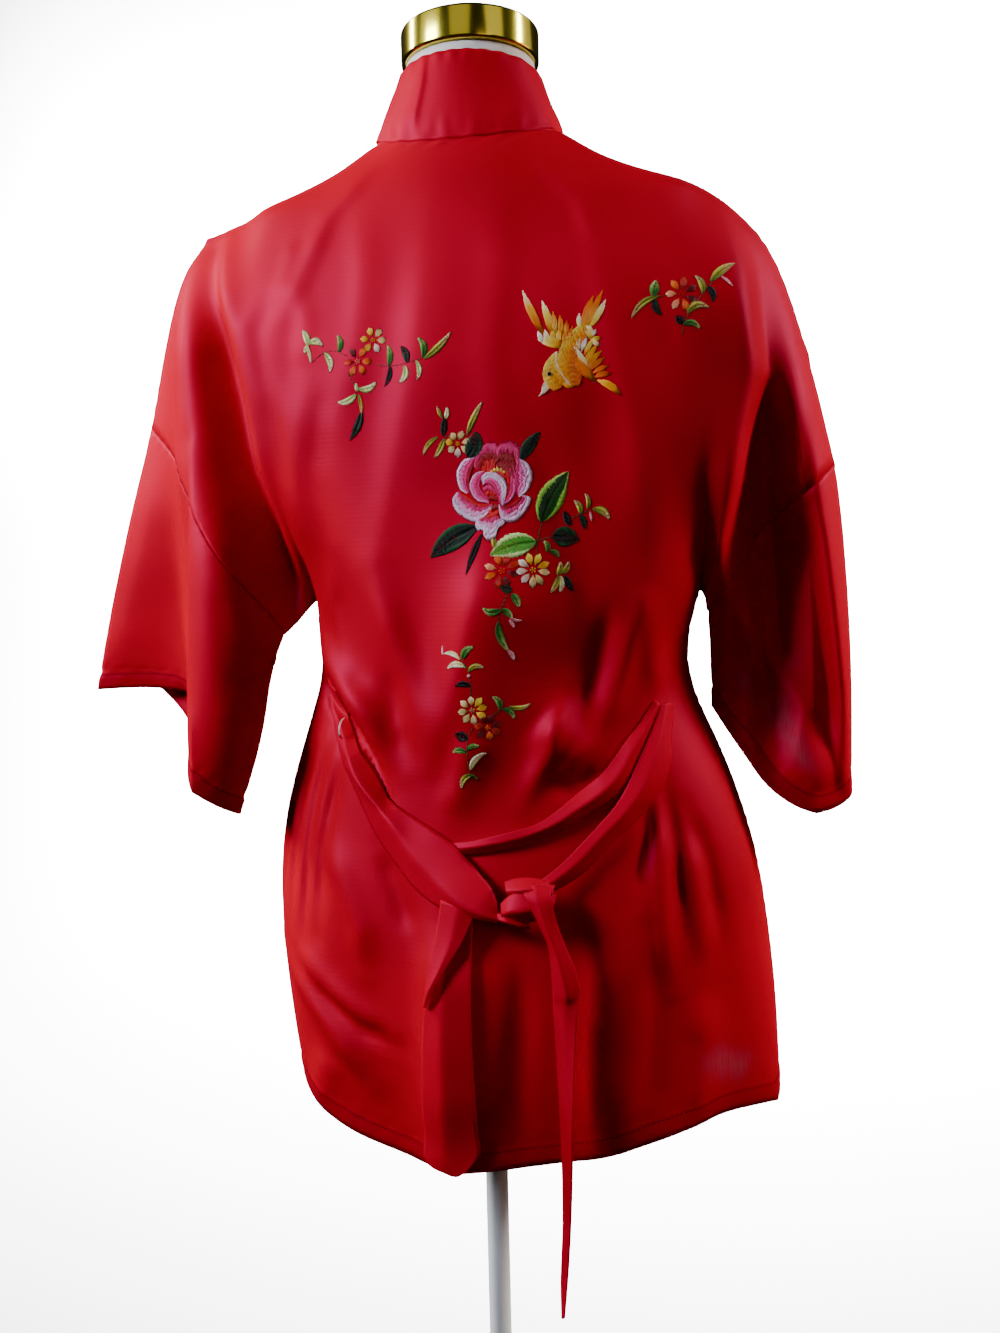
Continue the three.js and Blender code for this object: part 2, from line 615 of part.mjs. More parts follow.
// Place of the back's grid below the underarm, by the angle round the body
function skirtPlace(side, row, turn) {
  const z = mix(UNDERARM_Z, hemAt(side, turn), skirtShare(row - ARM_ROWS));
  const ends = { left: sliceEnd('left', 'back', z).x, right: sliceEnd('right', 'back', z).x };
  const middle = (ends.left + ends.right) / 2;
  return { x: middle + (ends[side] - middle) * Math.sin(radians(turn)), z };
}

const backGrid = [];
for (let i = 0; i < backRows; i += 1) {
  const row = [];
  for (let j = 0; j < backColumns; j += 1) {
    const step = backStep(j);
    const across = THREE.MathUtils.clamp(step / HALF_BACK, -1, 1);
    const side = sideOf(across);
    const beyond = beyondArmhole(step);
    let p;
    if (i <= ARM_ROWS && beyond >= 0) {
      p = yokePoint(side, 'back', i, beyond);
    } else {
      const place = i <= ARM_ROWS ? backPlace(i, across) : skirtPlace(side, i, Math.abs(across) * 90);
      p = onBody('back', place.x, place.z);
    }
    const onShoulder = i === 0 && Math.abs(step) >= NECK_CELLS;
    const onSide = i >= ARM_ROWS && beyond === 0;
    if (onShoulder || onSide) p.y += FOLD_GAP / 2;
    row.push(p);
  }
  backGrid.push(row);
}
addCloth('back', backGrid, {
  skip: (i, j) => i >= ARM_ROWS && Math.abs(backStep(j + 0.5)) > HALF_BACK,
  outward: (i, j, own) => {
    const step = backStep(j);
    const beyond = beyondArmhole(step);
    if (beyond >= 0) return seamOutward(sideOf(step), 'back', i, beyond, own);
    const onShoulder = i === 0 && Math.abs(step) >= NECK_CELLS;
    return onShoulder ? new THREE.Vector3(own.x, 0, own.z) : null;
  },
});

// ---- Fronts ----
const edgeX = (side, z) => (side === 'left' ? 1 : -1) * between(FRONT_EDGE, 'z', z, 'x');

// The left front and its band step out over the right ones where they cross
function crossing(side, x, z) {
  if (side === 'right') return 0;
  const over = THREE.MathUtils.smoothstep(-x, -CROSS_OUTER_X, -CROSS_INNER_X);
  const below = THREE.MathUtils.smoothstep(-z, -CROSS_TOP_Z, -CROSS_LOW_Z);
  return FRONT_LAYER * over * below;
}

// Height of the front edge on each row of the front's grid
function edgeRowZ(row) {
  if (row <= ARM_ROWS) return mix(NECK_SIDE_Z, UNDERARM_Z, armShare(row));
  return mix(UNDERARM_Z, hemAt('left', 180), skirtShare(row - ARM_ROWS));
}

function frontGrid(side) {
  const sign = side === 'left' ? 1 : -1;
  const grid = [];
  for (let i = 0; i < backRows; i += 1) {
    const row = [];
    for (let j = 0; j <= FRONT_CELLS + YOKE_CELLS; j += 1) {
      const beyond = (YOKE_CELLS - j) / YOKE_CELLS;
      const inward = Math.max(0, j - YOKE_CELLS) / FRONT_CELLS;
      let p;
      if (i <= ARM_ROWS && beyond >= 0) {
        p = yokePoint(side, 'front', i, beyond);
      } else {
        const armed = i <= ARM_ROWS;
        const down = armed ? armShare(i) : skirtShare(i - ARM_ROWS);
        const hem = hemAt(side, mix(90, 180, inward));
        const topZ = shoulderZ(mix(SHOULDER_X, NECK_SIDE, inward));
        const z = armed ? mix(topZ, UNDERARM_Z, down) : mix(UNDERARM_Z, hem, down);
        const startZ = armed ? Math.min(mix(SHOULDER_Z, UNDERARM_Z, down), SHOULDER_Z - JUST_UNDER) : z;
        const start = sliceEnd(side, 'front', startZ).x;
        const end = edgeX(side, edgeRowZ(i)) + (sign * SEAM_GAP) / 2;
        const rounded = mix(inward, 1 - Math.cos((inward * Math.PI) / 2), armed ? down : 1);
        const x = mix(start, end, mix(rounded, inward, FRONT_EVENNESS));
        p = onBody('front', x, z, crossing(side, x, z));
      }
      const onShoulder = i === 0 && beyond <= 0;
      const onSide = i >= ARM_ROWS && beyond === 0;
      if (onShoulder || onSide) p.y -= FOLD_GAP / 2;
      row.push(p);
    }
    grid.push(row);
  }
  return grid;
}

['left', 'right'].forEach((side) => {
  addCloth(`front_${side}`, frontGrid(side), {
    skip: (i, j) => i >= ARM_ROWS && j < YOKE_CELLS,
    flip: side === 'right',
    outward: (i, j, own) => {
      const beyond = (YOKE_CELLS - j) / YOKE_CELLS;
      if (i === 0 && beyond < 0) return new THREE.Vector3(own.x, 0, own.z);
      return beyond >= 0 ? seamOutward(side, 'front', i, beyond, own) : null;
    },
  });
});

// ---- Lower sleeves ----
// Round each section the points match those of the back and front at the dropped seam
const aroundSleeve = [];
for (let i = ARM_ROWS; i > -ARM_ROWS; i -= 1) aroundSleeve.push(Math.sign(i) * armShare(Math.abs(i)));
['left', 'right'].forEach((side) => {
  const grid = [];
  for (let i = 0; i <= SLEEVE_ALONG; i += 1) {
    grid.push(aroundSleeve.map((round) => {
      const along = mix(SEAM_SECTION + seamShort(side, round), 1, i / SLEEVE_ALONG);
      return sleeves[side](along, round);
    }));
  }
  addCloth(`sleeve_${side}`, grid, {
    closed: true,
    flip: side === 'right',
    outward: (i, j) => (i === 0 ? sleeveOutward(side, SEAM_SECTION, aroundSleeve[j]) : null),
  });
});

// ---- Collar and front bands ----
// The standing collar, from the side of the neck round the back to the other side
function collarPoint(angle, up) {
  const lowZ = NECK_SIDE_Z - NECK_DROP * Math.cos(radians(angle)) + COLLAR_SEAM_LIFT;
  const lowX = NECK_SIDE * Math.sin(radians(angle));
  const low = new THREE.Vector3(lowX, onBody('back', lowX, lowZ - COLLAR_SEAM_LIFT).y, lowZ);
  const high = new THREE.Vector3(
    COLLAR_TOP_SIDE * Math.sin(radians(angle)),
    COLLAR_TOP_BACK * Math.cos(radians(angle)),
    COLLAR_TOP_Z,
  );
  return low.lerp(high, up);
}
const collarGrid = [];
for (let i = 0; i <= COLLAR_ROWS; i += 1) {
  const row = [];
  for (let j = 0; j <= COLLAR_STEPS; j += 1) {
    const p = collarPoint(mix(-90, 90, j / COLLAR_STEPS), 1 - i / COLLAR_ROWS);
    if (j === 0 || j === COLLAR_STEPS) p.y += FOLD_GAP / 2;
    row.push(p);
  }
  collarGrid.push(row);
}
addCloth('collar', collarGrid);

// Each band starts where the collar ends, rolls over to lie on the front, and runs down the front edge
function bandGrid(side) {
  const sign = side === 'left' ? 1 : -1;
  const grid = [];
  for (let i = 0; i < backRows; i += 1) {
    const row = [];
    const z = edgeRowZ(i);
    const slope = (edgeX(side, z + SLOPE_STEP) - edgeX(side, z - SLOPE_STEP)) / (2 * SLOPE_STEP);
    const length = Math.hypot(1, slope);
    const standing = THREE.MathUtils.smoothstep(z, BAND_FLAT_Z, BAND_STAND_Z);
    const rollZ = Math.max(z, BAND_ROLL[0].z);
    const free = new THREE.Vector3(
      sign * between(BAND_ROLL, 'z', rollZ, 'freeX'),
      between(BAND_ROLL, 'z', rollZ, 'freeY'),
      between(BAND_ROLL, 'z', rollZ, 'freeZ'),
    );
    const sewnX = edgeX(side, z) - (sign * SEAM_GAP) / 2;
    const sewn = onBody('front', sewnX, z, crossing(side, sewnX, z));
    for (let j = 0; j <= BAND_CELLS; j += 1) {
      const share = j / BAND_CELLS;
      const reach = (share * BAND_WIDTH) / length;
      const x = sewnX - sign * reach;
      const up = z + Math.abs(slope) * reach;
      const flat = onBody('front', x, Math.min(up, NECK_SIDE_Z), crossing(side, x, z));
      const p = flat.lerp(sewn.clone().lerp(free, share), standing);
      if (i === 0) {
        p.y -= FOLD_GAP / 2;
        p.z += COLLAR_SEAM_LIFT * (1 - share);
      }
      row.push(p);
    }
    grid.push(row);
  }
  return grid;
}
['left', 'right'].forEach((side) => {
  addCloth(`band_${side}`, bandGrid(side), { flip: side === 'right' });
});

// ---- Sash ----
// A flat band along a table of places on the back. A twisted one keeps its middle line's distance from it
function bandAlong(rows) {
  return rows.map((row, k) => {
    const before = rows[Math.max(0, k - 1)];
    const after = rows[Math.min(rows.length - 1, k + 1)];
    const along = new THREE.Vector2(after.x - before.x, after.z - before.z).normalize();
    const line = [];
    for (let j = 0; j <= SASH_CELLS; j += 1) {
      const off = (j / SASH_CELLS - 0.5) * row.width;
      if (row.turn === undefined) {
        line.push(onBody('back', row.x - along.y * off, row.z + along.x * off, row.lift));
      } else {
        const turn = radians(row.turn);
        const across = new THREE.Vector3(-along.y * Math.cos(turn), Math.sin(turn), along.x * Math.cos(turn));
        line.push(onBody('back', row.x, row.z, row.lift).addScaledVector(across, off));
      }
    }
    return line;
  });
}
function addSash(name, points, options = {}) {
  addCloth(name, points, { wall: SASH_WALL, colour: SASH_RED, ...options });
}
// Middle rows are added between the table's rows, so the band follows the body
function finer(rows) {
  const out = [];
  const count = 2 * (rows.length - 1);
  const numbered = rows.map((row, k) => ({ ...row, k }));
  for (let i = 0; i <= count; i += 1) {
    const row = {};
    Object.keys(rows[0]).forEach((column) => {
      row[column] = between(numbered, 'k', i / 2, column);
    });
    out.push(row);
  }
  return out;
}
addSash('sash_left', bandAlong(finer(SASH_LEFT)), { flip: true });
addSash('sash_right_upper', bandAlong(finer(SASH_RIGHT_UPPER)));
addSash('sash_right_lower', bandAlong(finer(SASH_RIGHT_LOWER)));
addSash('sash_tail_left', bandAlong(finer(TAIL_LEFT)), { flip: true });
addSash('sash_tail_right', bandAlong(finer(TAIL_RIGHT)), { flip: true });

// Round the front, from the left side slit to the right side
const sashFront = [];
for (let i = 0; i <= SASH_FRONT_STEPS; i += 1) {
  const angle = radians(mix(SASH_FRONT_START, SASH_FRONT_END, i / SASH_FRONT_STEPS));
  const face = Math.cos(angle) >= 0 ? 'back' : 'front';
  const row = [];
  for (let j = 0; j <= SASH_CELLS; j += 1) {
    const z = SASH_FRONT_Z + SASH_FRONT_RISE * Math.cos(angle) + (j / SASH_CELLS - 0.5) * SASH_FRONT_WIDTH;
    const left = sliceEnd('left', face, z).x;
    const right = sliceEnd('right', face, z).x;
    const middle = (left + right) / 2;
    const end = Math.sin(angle) >= 0 ? left : right;
    const x = middle + (end - middle) * Math.abs(Math.sin(angle));
    row.push(onBody(face, x, z, SASH_FRONT_LIFT + (face === 'front' ? crossing('left', x, z) : 0)));
  }
  sashFront.push(row);
}
addSash('sash_front', sashFront);

const knotPlace = onBody('back', KNOT.x, KNOT.z, KNOT.lift);
const knot = addMesh('sash_knot', new THREE.SphereGeometry(1, 16, 10), SASH_RED, SILK_ROUGHNESS, 0);
knot.scale.set(KNOT.halfWidth, KNOT.halfDepth, KNOT.halfHeight);
knot.position.copy(knotPlace);

// ---- Dress form ----
const shoulderRings = [];
for (let i = 1; i <= SHOULDER_RINGS; i += 1) {
  const half = mix(SHOULDER_X, NECK_SIDE, i / SHOULDER_RINGS);
  const ease = i === SHOULDER_RINGS ? NECK_SIDE_EASE : 0;
  shoulderRings.push({
    z: shoulderZ(half) - WALL / 2 - REST_GAP - ease,
    half,
    back: FORM_SHOULDER_BACK + (half - NECK_SIDE) * FORM_SHOULDER_SPREAD,
    front: FORM_SHOULDER_FRONT - (half - NECK_SIDE) * FORM_SHOULDER_SPREAD,
  });
}
const formRings = [...FORM, ...shoulderRings, ...FORM_NECK];
function loft(rings, segments) {
  const vertices = [];
  const faces = [];
  rings.forEach((ring) => {
    for (let j = 0; j < segments; j += 1) {
      const angle = (j / segments) * 2 * Math.PI;
      const depth = Math.sin(angle) >= 0 ? ring.back : -ring.front;
      vertices.push(new THREE.Vector3(ring.half * Math.cos(angle), depth * Math.sin(angle), ring.z));
    }
  });
  for (let i = 0; i < rings.length - 1; i += 1) {
    for (let j = 0; j < segments; j += 1) {
      const a = i * segments + j;
      const b = i * segments + ((j + 1) % segments);
      faces.push([a, b, b + segments], [a, b + segments, a + segments]);
    }
  }
  const bottom = vertices.push(new THREE.Vector3(0, 0, rings[0].z)) - 1;
  const top = vertices.push(new THREE.Vector3(0, 0, rings[rings.length - 1].z)) - 1;
  const lastRing = (rings.length - 1) * segments;
  for (let j = 0; j < segments; j += 1) {
    const k = (j + 1) % segments;
    faces.push([bottom, k, j], [top, lastRing + j, lastRing + k]);
  }
  return { vertices, faces };
}
addMesh('torso', asGeometry(loft(formRings, FORM_SEGMENTS)), FORM_WHITE, 0.8, 0);

// A turned piece from its profile, radius and height, with its axis upright
function addTurned(name, profile, colour, roughness, metalness) {
  const points = profile.map(([radius, height]) => new THREE.Vector2(radius, height));
  const geometry = new THREE.LatheGeometry(points, TURNED_SEGMENTS);
  geometry.rotateX(Math.PI / 2);
  return addMesh(name, geometry, colour, roughness, metalness);
}
addTurned('neck_cap', [
  [0, NECK_TOP_Z + SEAM_GAP],
  [CAP_RADIUS - 1, NECK_TOP_Z + SEAM_GAP],
  [CAP_RADIUS, NECK_TOP_Z + SEAM_GAP + 1],
  [CAP_RADIUS, NECK_TOP_Z + CAP_HEIGHT - CAP_EDGE],
  [CAP_RADIUS - CAP_EDGE, NECK_TOP_Z + CAP_HEIGHT],
  [0, NECK_TOP_Z + CAP_HEIGHT],
], CAP_GOLD, 0.25, 1);

const flangeTop = FORM_BOTTOM_Z - SEAM_GAP;
const flangeBottom = flangeTop - FLANGE_HEIGHT;
addTurned('pole_flange', [
  [0, flangeBottom],
  [FLANGE_RADIUS - 2, flangeBottom],
  [FLANGE_RADIUS, flangeBottom + 2],
  [FLANGE_RADIUS, flangeTop],
  [0, flangeTop],
], STAND_WHITE, 0.5, 0.2);
addTurned('pole', [
  [0, BASE_HEIGHT + SEAM_GAP],
  [POLE_RADIUS, BASE_HEIGHT + SEAM_GAP],
  [POLE_RADIUS, flangeBottom - SEAM_GAP],
  [0, flangeBottom - SEAM_GAP],
], STAND_WHITE, 0.5, 0.2);
addTurned('base_collar', [
  [POLE_RADIUS + SEAM_GAP, BASE_HEIGHT + SEAM_GAP],
  [POLE_RADIUS + 12, BASE_HEIGHT + SEAM_GAP],
  [POLE_RADIUS + 8, BASE_HEIGHT + COLLAR_RING_HEIGHT - 4],
  [POLE_RADIUS + 5, BASE_HEIGHT + COLLAR_RING_HEIGHT],
  [POLE_RADIUS + SEAM_GAP, BASE_HEIGHT + COLLAR_RING_HEIGHT],
  [POLE_RADIUS + SEAM_GAP, BASE_HEIGHT + SEAM_GAP],
], STAND_WHITE, 0.5, 0.2);
addTurned('base', [
  [0, 0],
  [BASE_RADIUS - 1, 0],
  [BASE_RADIUS, 1],
  [BASE_RADIUS, BASE_HEIGHT - 4],
  [BASE_RADIUS - 4, BASE_HEIGHT - 1],
  [BASE_RADIUS - 12, BASE_HEIGHT],
  [0, BASE_HEIGHT],
], STAND_WHITE, 0.5, 0.2);

export default part;
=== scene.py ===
"""An embroidered red silk robe, tied behind with its sash, on a dress form with a floor stand."""

import math
import random

import bmesh
import bpy
import numpy as np
from mathutils import Matrix, Vector
from mathutils.bvhtree import BVHTree
from mathutils.kdtree import KDTree


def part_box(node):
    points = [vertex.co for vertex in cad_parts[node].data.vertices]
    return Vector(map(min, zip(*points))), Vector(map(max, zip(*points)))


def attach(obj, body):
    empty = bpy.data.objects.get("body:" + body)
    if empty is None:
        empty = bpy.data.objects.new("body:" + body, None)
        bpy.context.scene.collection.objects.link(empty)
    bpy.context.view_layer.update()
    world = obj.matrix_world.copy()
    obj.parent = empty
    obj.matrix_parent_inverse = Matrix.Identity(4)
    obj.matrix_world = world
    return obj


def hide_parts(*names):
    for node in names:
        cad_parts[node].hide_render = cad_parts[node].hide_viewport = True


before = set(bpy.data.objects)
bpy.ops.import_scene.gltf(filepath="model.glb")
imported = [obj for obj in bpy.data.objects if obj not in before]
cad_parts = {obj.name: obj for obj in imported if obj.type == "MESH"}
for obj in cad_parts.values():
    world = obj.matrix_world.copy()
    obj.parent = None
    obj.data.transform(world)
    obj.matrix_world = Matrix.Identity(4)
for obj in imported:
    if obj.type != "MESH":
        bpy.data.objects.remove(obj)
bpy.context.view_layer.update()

# ---------------------------------------------------------------------------------------------
# Floor stand. A steel tube pole screwed into a flange under the form, a ring where it meets the
# round steel base. All of it is powder coated white, so it has a soft satin skin with fine peel.

MM = 0.001
STAND_WHITE = "#ecebe7"
PEEL_SIZE = 0.9  # mm between the small humps of the coating


def linear(hex_code):
    """An sRGB hex colour as the linear RGBA that a shader socket takes."""
    channels = [int(hex_code[i:i + 2], 16) / 255 for i in (1, 3, 5)]
    return [c / 12.92 if c <= 0.04045 else ((c + 0.055) / 1.055) ** 2.4 for c in channels] + [1.0]


def add_node(tree, kind, inputs=(), **settings):
    """A shader node with its settings, and its inputs given as values or as sockets to link."""
    node = tree.nodes.new(kind)
    for name, value in settings.items():
        setattr(node, name, value)
    for name, value in dict(inputs).items():
        if isinstance(value, bpy.types.NodeSocket):
            tree.links.new(value, node.inputs[name])
        else:
            node.inputs[name].default_value = value
    return node


def new_material(name):
    """A material with only its output and a principled shader, and the shader to set up."""
    material = bpy.data.materials.new(name)
    material.use_nodes = True
    tree = material.node_tree
    tree.nodes.clear()
    shader = add_node(tree, "ShaderNodeBsdfPrincipled")
    add_node(tree, "ShaderNodeOutputMaterial", {"Surface": shader.outputs["BSDF"]})
    return material, tree, shader


# Powder coat, sprayed and baked: satin, with orange peel that breaks up the highlight a little
coated_steel, tree, shader = new_material("powder_coated_steel")
place = add_node(tree, "ShaderNodeTexCoord").outputs["Object"]
peel = add_node(tree, "ShaderNodeTexNoise", {"Vector": place, "Scale": 1 / (PEEL_SIZE * MM)})
bump = add_node(tree, "ShaderNodeBump", {"Strength": 0.15, "Distance": 0.05 * MM,
                                         "Height": peel.outputs["Fac"]})
shader.inputs["Base Color"].default_value = linear(STAND_WHITE)
shader.inputs["Roughness"].default_value = 0.38
shader.inputs["IOR"].default_value = 1.5
tree.links.new(bump.outputs["Normal"], shader.inputs["Normal"])

for name in ("pole", "pole_flange", "base_collar", "base"):
    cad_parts[name].data.materials.clear()
    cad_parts[name].data.materials.append(coated_steel)

# ---------------------------------------------------------------------------------------------
# Dress form. A firm moulded torso without arms, pulled over with white cotton jersey that shows
# at the neck and under the hem of the robe.

JERSEY_WHITE = "#e6dcd2"
JERSEY_PITCH = 1.1  # mm between the ribs of the knit
NECK_ROUND = 57  # mm, radius of the neck, where the ribs show
SHARP_CORNER = math.radians(50)  # edges that turn more than this stay crisp


def merged_copy(node):
    """The CAD node's mesh as a bmesh with its split corners joined up again."""
    bm = bmesh.new()
    bm.from_mesh(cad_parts[node].data)
    bmesh.ops.remove_doubles(bm, verts=bm.verts, dist=0.05 * MM)
    return bm


def keep_sharp(bm, amount):
    """Creases the edges that turn sharply, so that smoothing rounds them only slightly."""
    crease = bm.edges.layers.float.new("crease_edge")
    for edge in bm.edges:
        if len(edge.link_faces) == 2 and edge.calc_face_angle() > SHARP_CORNER:
            edge[crease] = amount


def new_piece(name, bm, material):
    """A smooth shaded object at the origin made from a bmesh, which is freed."""
    mesh = bpy.data.meshes.new(name)
    bm.to_mesh(mesh)
    bm.free()
    mesh.shade_smooth()
    mesh.materials.append(material)
    piece = bpy.data.objects.new(name, mesh)
    bpy.context.scene.collection.objects.link(piece)
    return piece


def apply_modifiers(piece):
    """Writes a piece's modifiers into its mesh."""
    graph = bpy.context.evaluated_depsgraph_get()
    graph.update()
    mesh = bpy.data.meshes.new_from_object(piece.evaluated_get(graph))
    piece.modifiers.clear()
    old = piece.data
    piece.data = mesh
    bpy.data.meshes.remove(old)


def smooth_grid(piece, levels):
    """Rounds a piece's cells into a smooth skin and applies it."""
    subdivide = piece.modifiers.new("smooth", "SUBSURF")
    subdivide.levels = levels
    subdivide.render_levels = levels
    subdivide.boundary_smooth = "PRESERVE_CORNERS"
    apply_modifiers(piece)


# Cotton jersey, knitted and stretched over the form: dry, with fine upright ribs
jersey, tree, shader = new_material("white_cotton_jersey")
place = add_node(tree, "ShaderNodeTexCoord").outputs["Object"]
split = add_node(tree, "ShaderNodeSeparateXYZ", {"Vector": place})
turn = add_node(tree, "ShaderNodeMath", {0: split.outputs["Y"], 1: split.outputs["X"]},
                operation="ARCTAN2")
# Ribs are counted round the neck
ribs = add_node(tree, "ShaderNodeMath",
                {0: turn.outputs["Value"], 1: NECK_ROUND / JERSEY_PITCH * 2 * math.pi},
                operation="MULTIPLY")
wave = add_node(tree, "ShaderNodeMath", {0: ribs.outputs["Value"]}, operation="SINE")
bump = add_node(tree, "ShaderNodeBump", {"Strength": 0.4, "Distance": 0.2 * MM,
                                         "Height": wave.outputs["Value"]})
shader.inputs["Base Color"].default_value = linear(JERSEY_WHITE)
shader.inputs["Roughness"].default_value = 0.85
shader.inputs["Sheen Weight"].default_value = 0.3
tree.links.new(bump.outputs["Normal"], shader.inputs["Normal"])

bm = merged_copy("torso")
keep_sharp(bm, 0.9)
form = new_piece("dress_form", bm, jersey)
smooth_grid(form, 2)
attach(form, "root")
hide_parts("torso")

# ---------------------------------------------------------------------------------------------
# Neck cap. A shallow lid spun from brass sheet and polished, pressed over the end of the neck.
# Its rim stands a little proud and its top is almost flat.

BRASS = "#cfbf40"
CAP_ROUND = 2.5  # mm, the rolled edges
CAP_CROWN = 1.2  # mm that the top rises to its middle
CAP_STEPS = 96  # round its wall
TURNING_MARKS = (30.0, 30.0, 2500.0)  # per metre: long round the cap, 0.4 mm apart up its wall

# Polished brass: nearly mirror smooth, its colour in the reflection, faint turning marks
brass, tree, shader = new_material("polished_brass")
place = add_node(tree, "ShaderNodeTexCoord").outputs["Object"]
stretch = add_node(tree, "ShaderNodeMapping", {"Vector": place, "Scale": TURNING_MARKS})
marks = add_node(tree, "ShaderNodeTexNoise", {"Vector": stretch.outputs["Vector"], "Scale": 1.0})
bump = add_node(tree, "ShaderNodeBump", {"Strength": 0.05, "Distance": 0.02 * MM,
                                         "Height": marks.outputs["Fac"]})
shader.inputs["Base Color"].default_value = linear(BRASS)
shader.inputs["Metallic"].default_value = 1.0
shader.inputs["Roughness"].default_value = 0.16
tree.links.new(bump.outputs["Normal"], shader.inputs["Normal"])

low, high = (np.array(corner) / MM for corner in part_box("neck_cap"))
cap_radius = (high[0] - low[0]) / 2
cap_profile = [(0.0, low[2]), (cap_radius - CAP_ROUND, low[2])]
for step in range(1, 7):
    angle = math.radians(15 * step)
    cap_profile.append((cap_radius - CAP_ROUND + CAP_ROUND * math.sin(angle),
                        low[2] + CAP_ROUND - CAP_ROUND * math.cos(angle)))
for step in range(7):
    angle = math.radians(15 * step)
    cap_profile.append((cap_radius - CAP_ROUND + CAP_ROUND * math.cos(angle),
                        high[2] - CAP_CROWN - CAP_ROUND + CAP_ROUND * math.sin(angle)))
cap_profile += [(cap_radius * 0.5, high[2] - CAP_CROWN * 0.25), (0.0, high[2])]
bm = bmesh.new()
corners = [bm.verts.new((r * MM, 0.0, z * MM)) for r, z in cap_profile]
edges = [bm.edges.new(pair) for pair in zip(corners, corners[1:])]
bmesh.ops.spin(bm, geom=corners + edges, cent=(0, 0, 0), axis=(0, 0, 1), dvec=(0, 0, 0),
               angle=2 * math.pi, steps=CAP_STEPS, use_merge=True)
bmesh.ops.remove_doubles(bm, verts=bm.verts, dist=0.001 * MM)
bmesh.ops.recalc_face_normals(bm, faces=bm.faces)
cap = new_piece("brass_cap", bm, brass)
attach(cap, "root")
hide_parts("neck_cap")

# ---------------------------------------------------------------------------------------------
# Robe. Eight cut pieces of light red silk: a back and two fronts that reach out past the
# shoulders to the dropped sleeve seams, two wide short sleeves, a stand collar, and two front
# bands. They hang from the shoulders and are gathered in behind by the sash.

SILK_RED = "#c8001c"
SILK_SHADE = "#b60014"
SILK_GLANCE = "#fa3488"
# Paler pink, painted where light comes through a single layer of the cloth
SILK_PAINTED_LIGHT_THROUGH = "#b04458"
YARN_STREAK = 1.5  # mm between the paler yarns in the patches of painted light let through
DYE_CLOUDS = 9.0  # per metre, the slow drift from one shade of the dye to the other
SATIN_SHARE = 0.06  # of the light, that glances off the floats of its yarn
THROUGH_SHARE = 0.08  # of the light, that the thin cloth lets through
SILK_THICK = 0.7  # mm, drawn thicker than the real 0.2 so that the edges show
WEFT_BAND = 3.553  # mm between faint bands of heavier weft; the weave, at 0.2, is too fine to show
SLUB_LENGTH = 45.0  # mm along the weft
SLUB_WIDTH = 1.6  # mm across it
HEM_WIDTH = 15.0  # mm turned up inside the bottom edges and the cuffs
STITCH_IN = 2.0  # mm from the turned edge to the stitching
STITCH_PITCH = 3.0  # mm from one running stitch to the next
# Dark red of the thread, also mixed in as painted shade along the seams and over the doubled hem
THREAD_RED_AND_PAINTED_SHADE = "#5a000c"
NECK_FREE_Z = 1378  # mm, above which the neck seam begins to hold the cloth flat
NECK_EASE = 25  # mm over which it does so


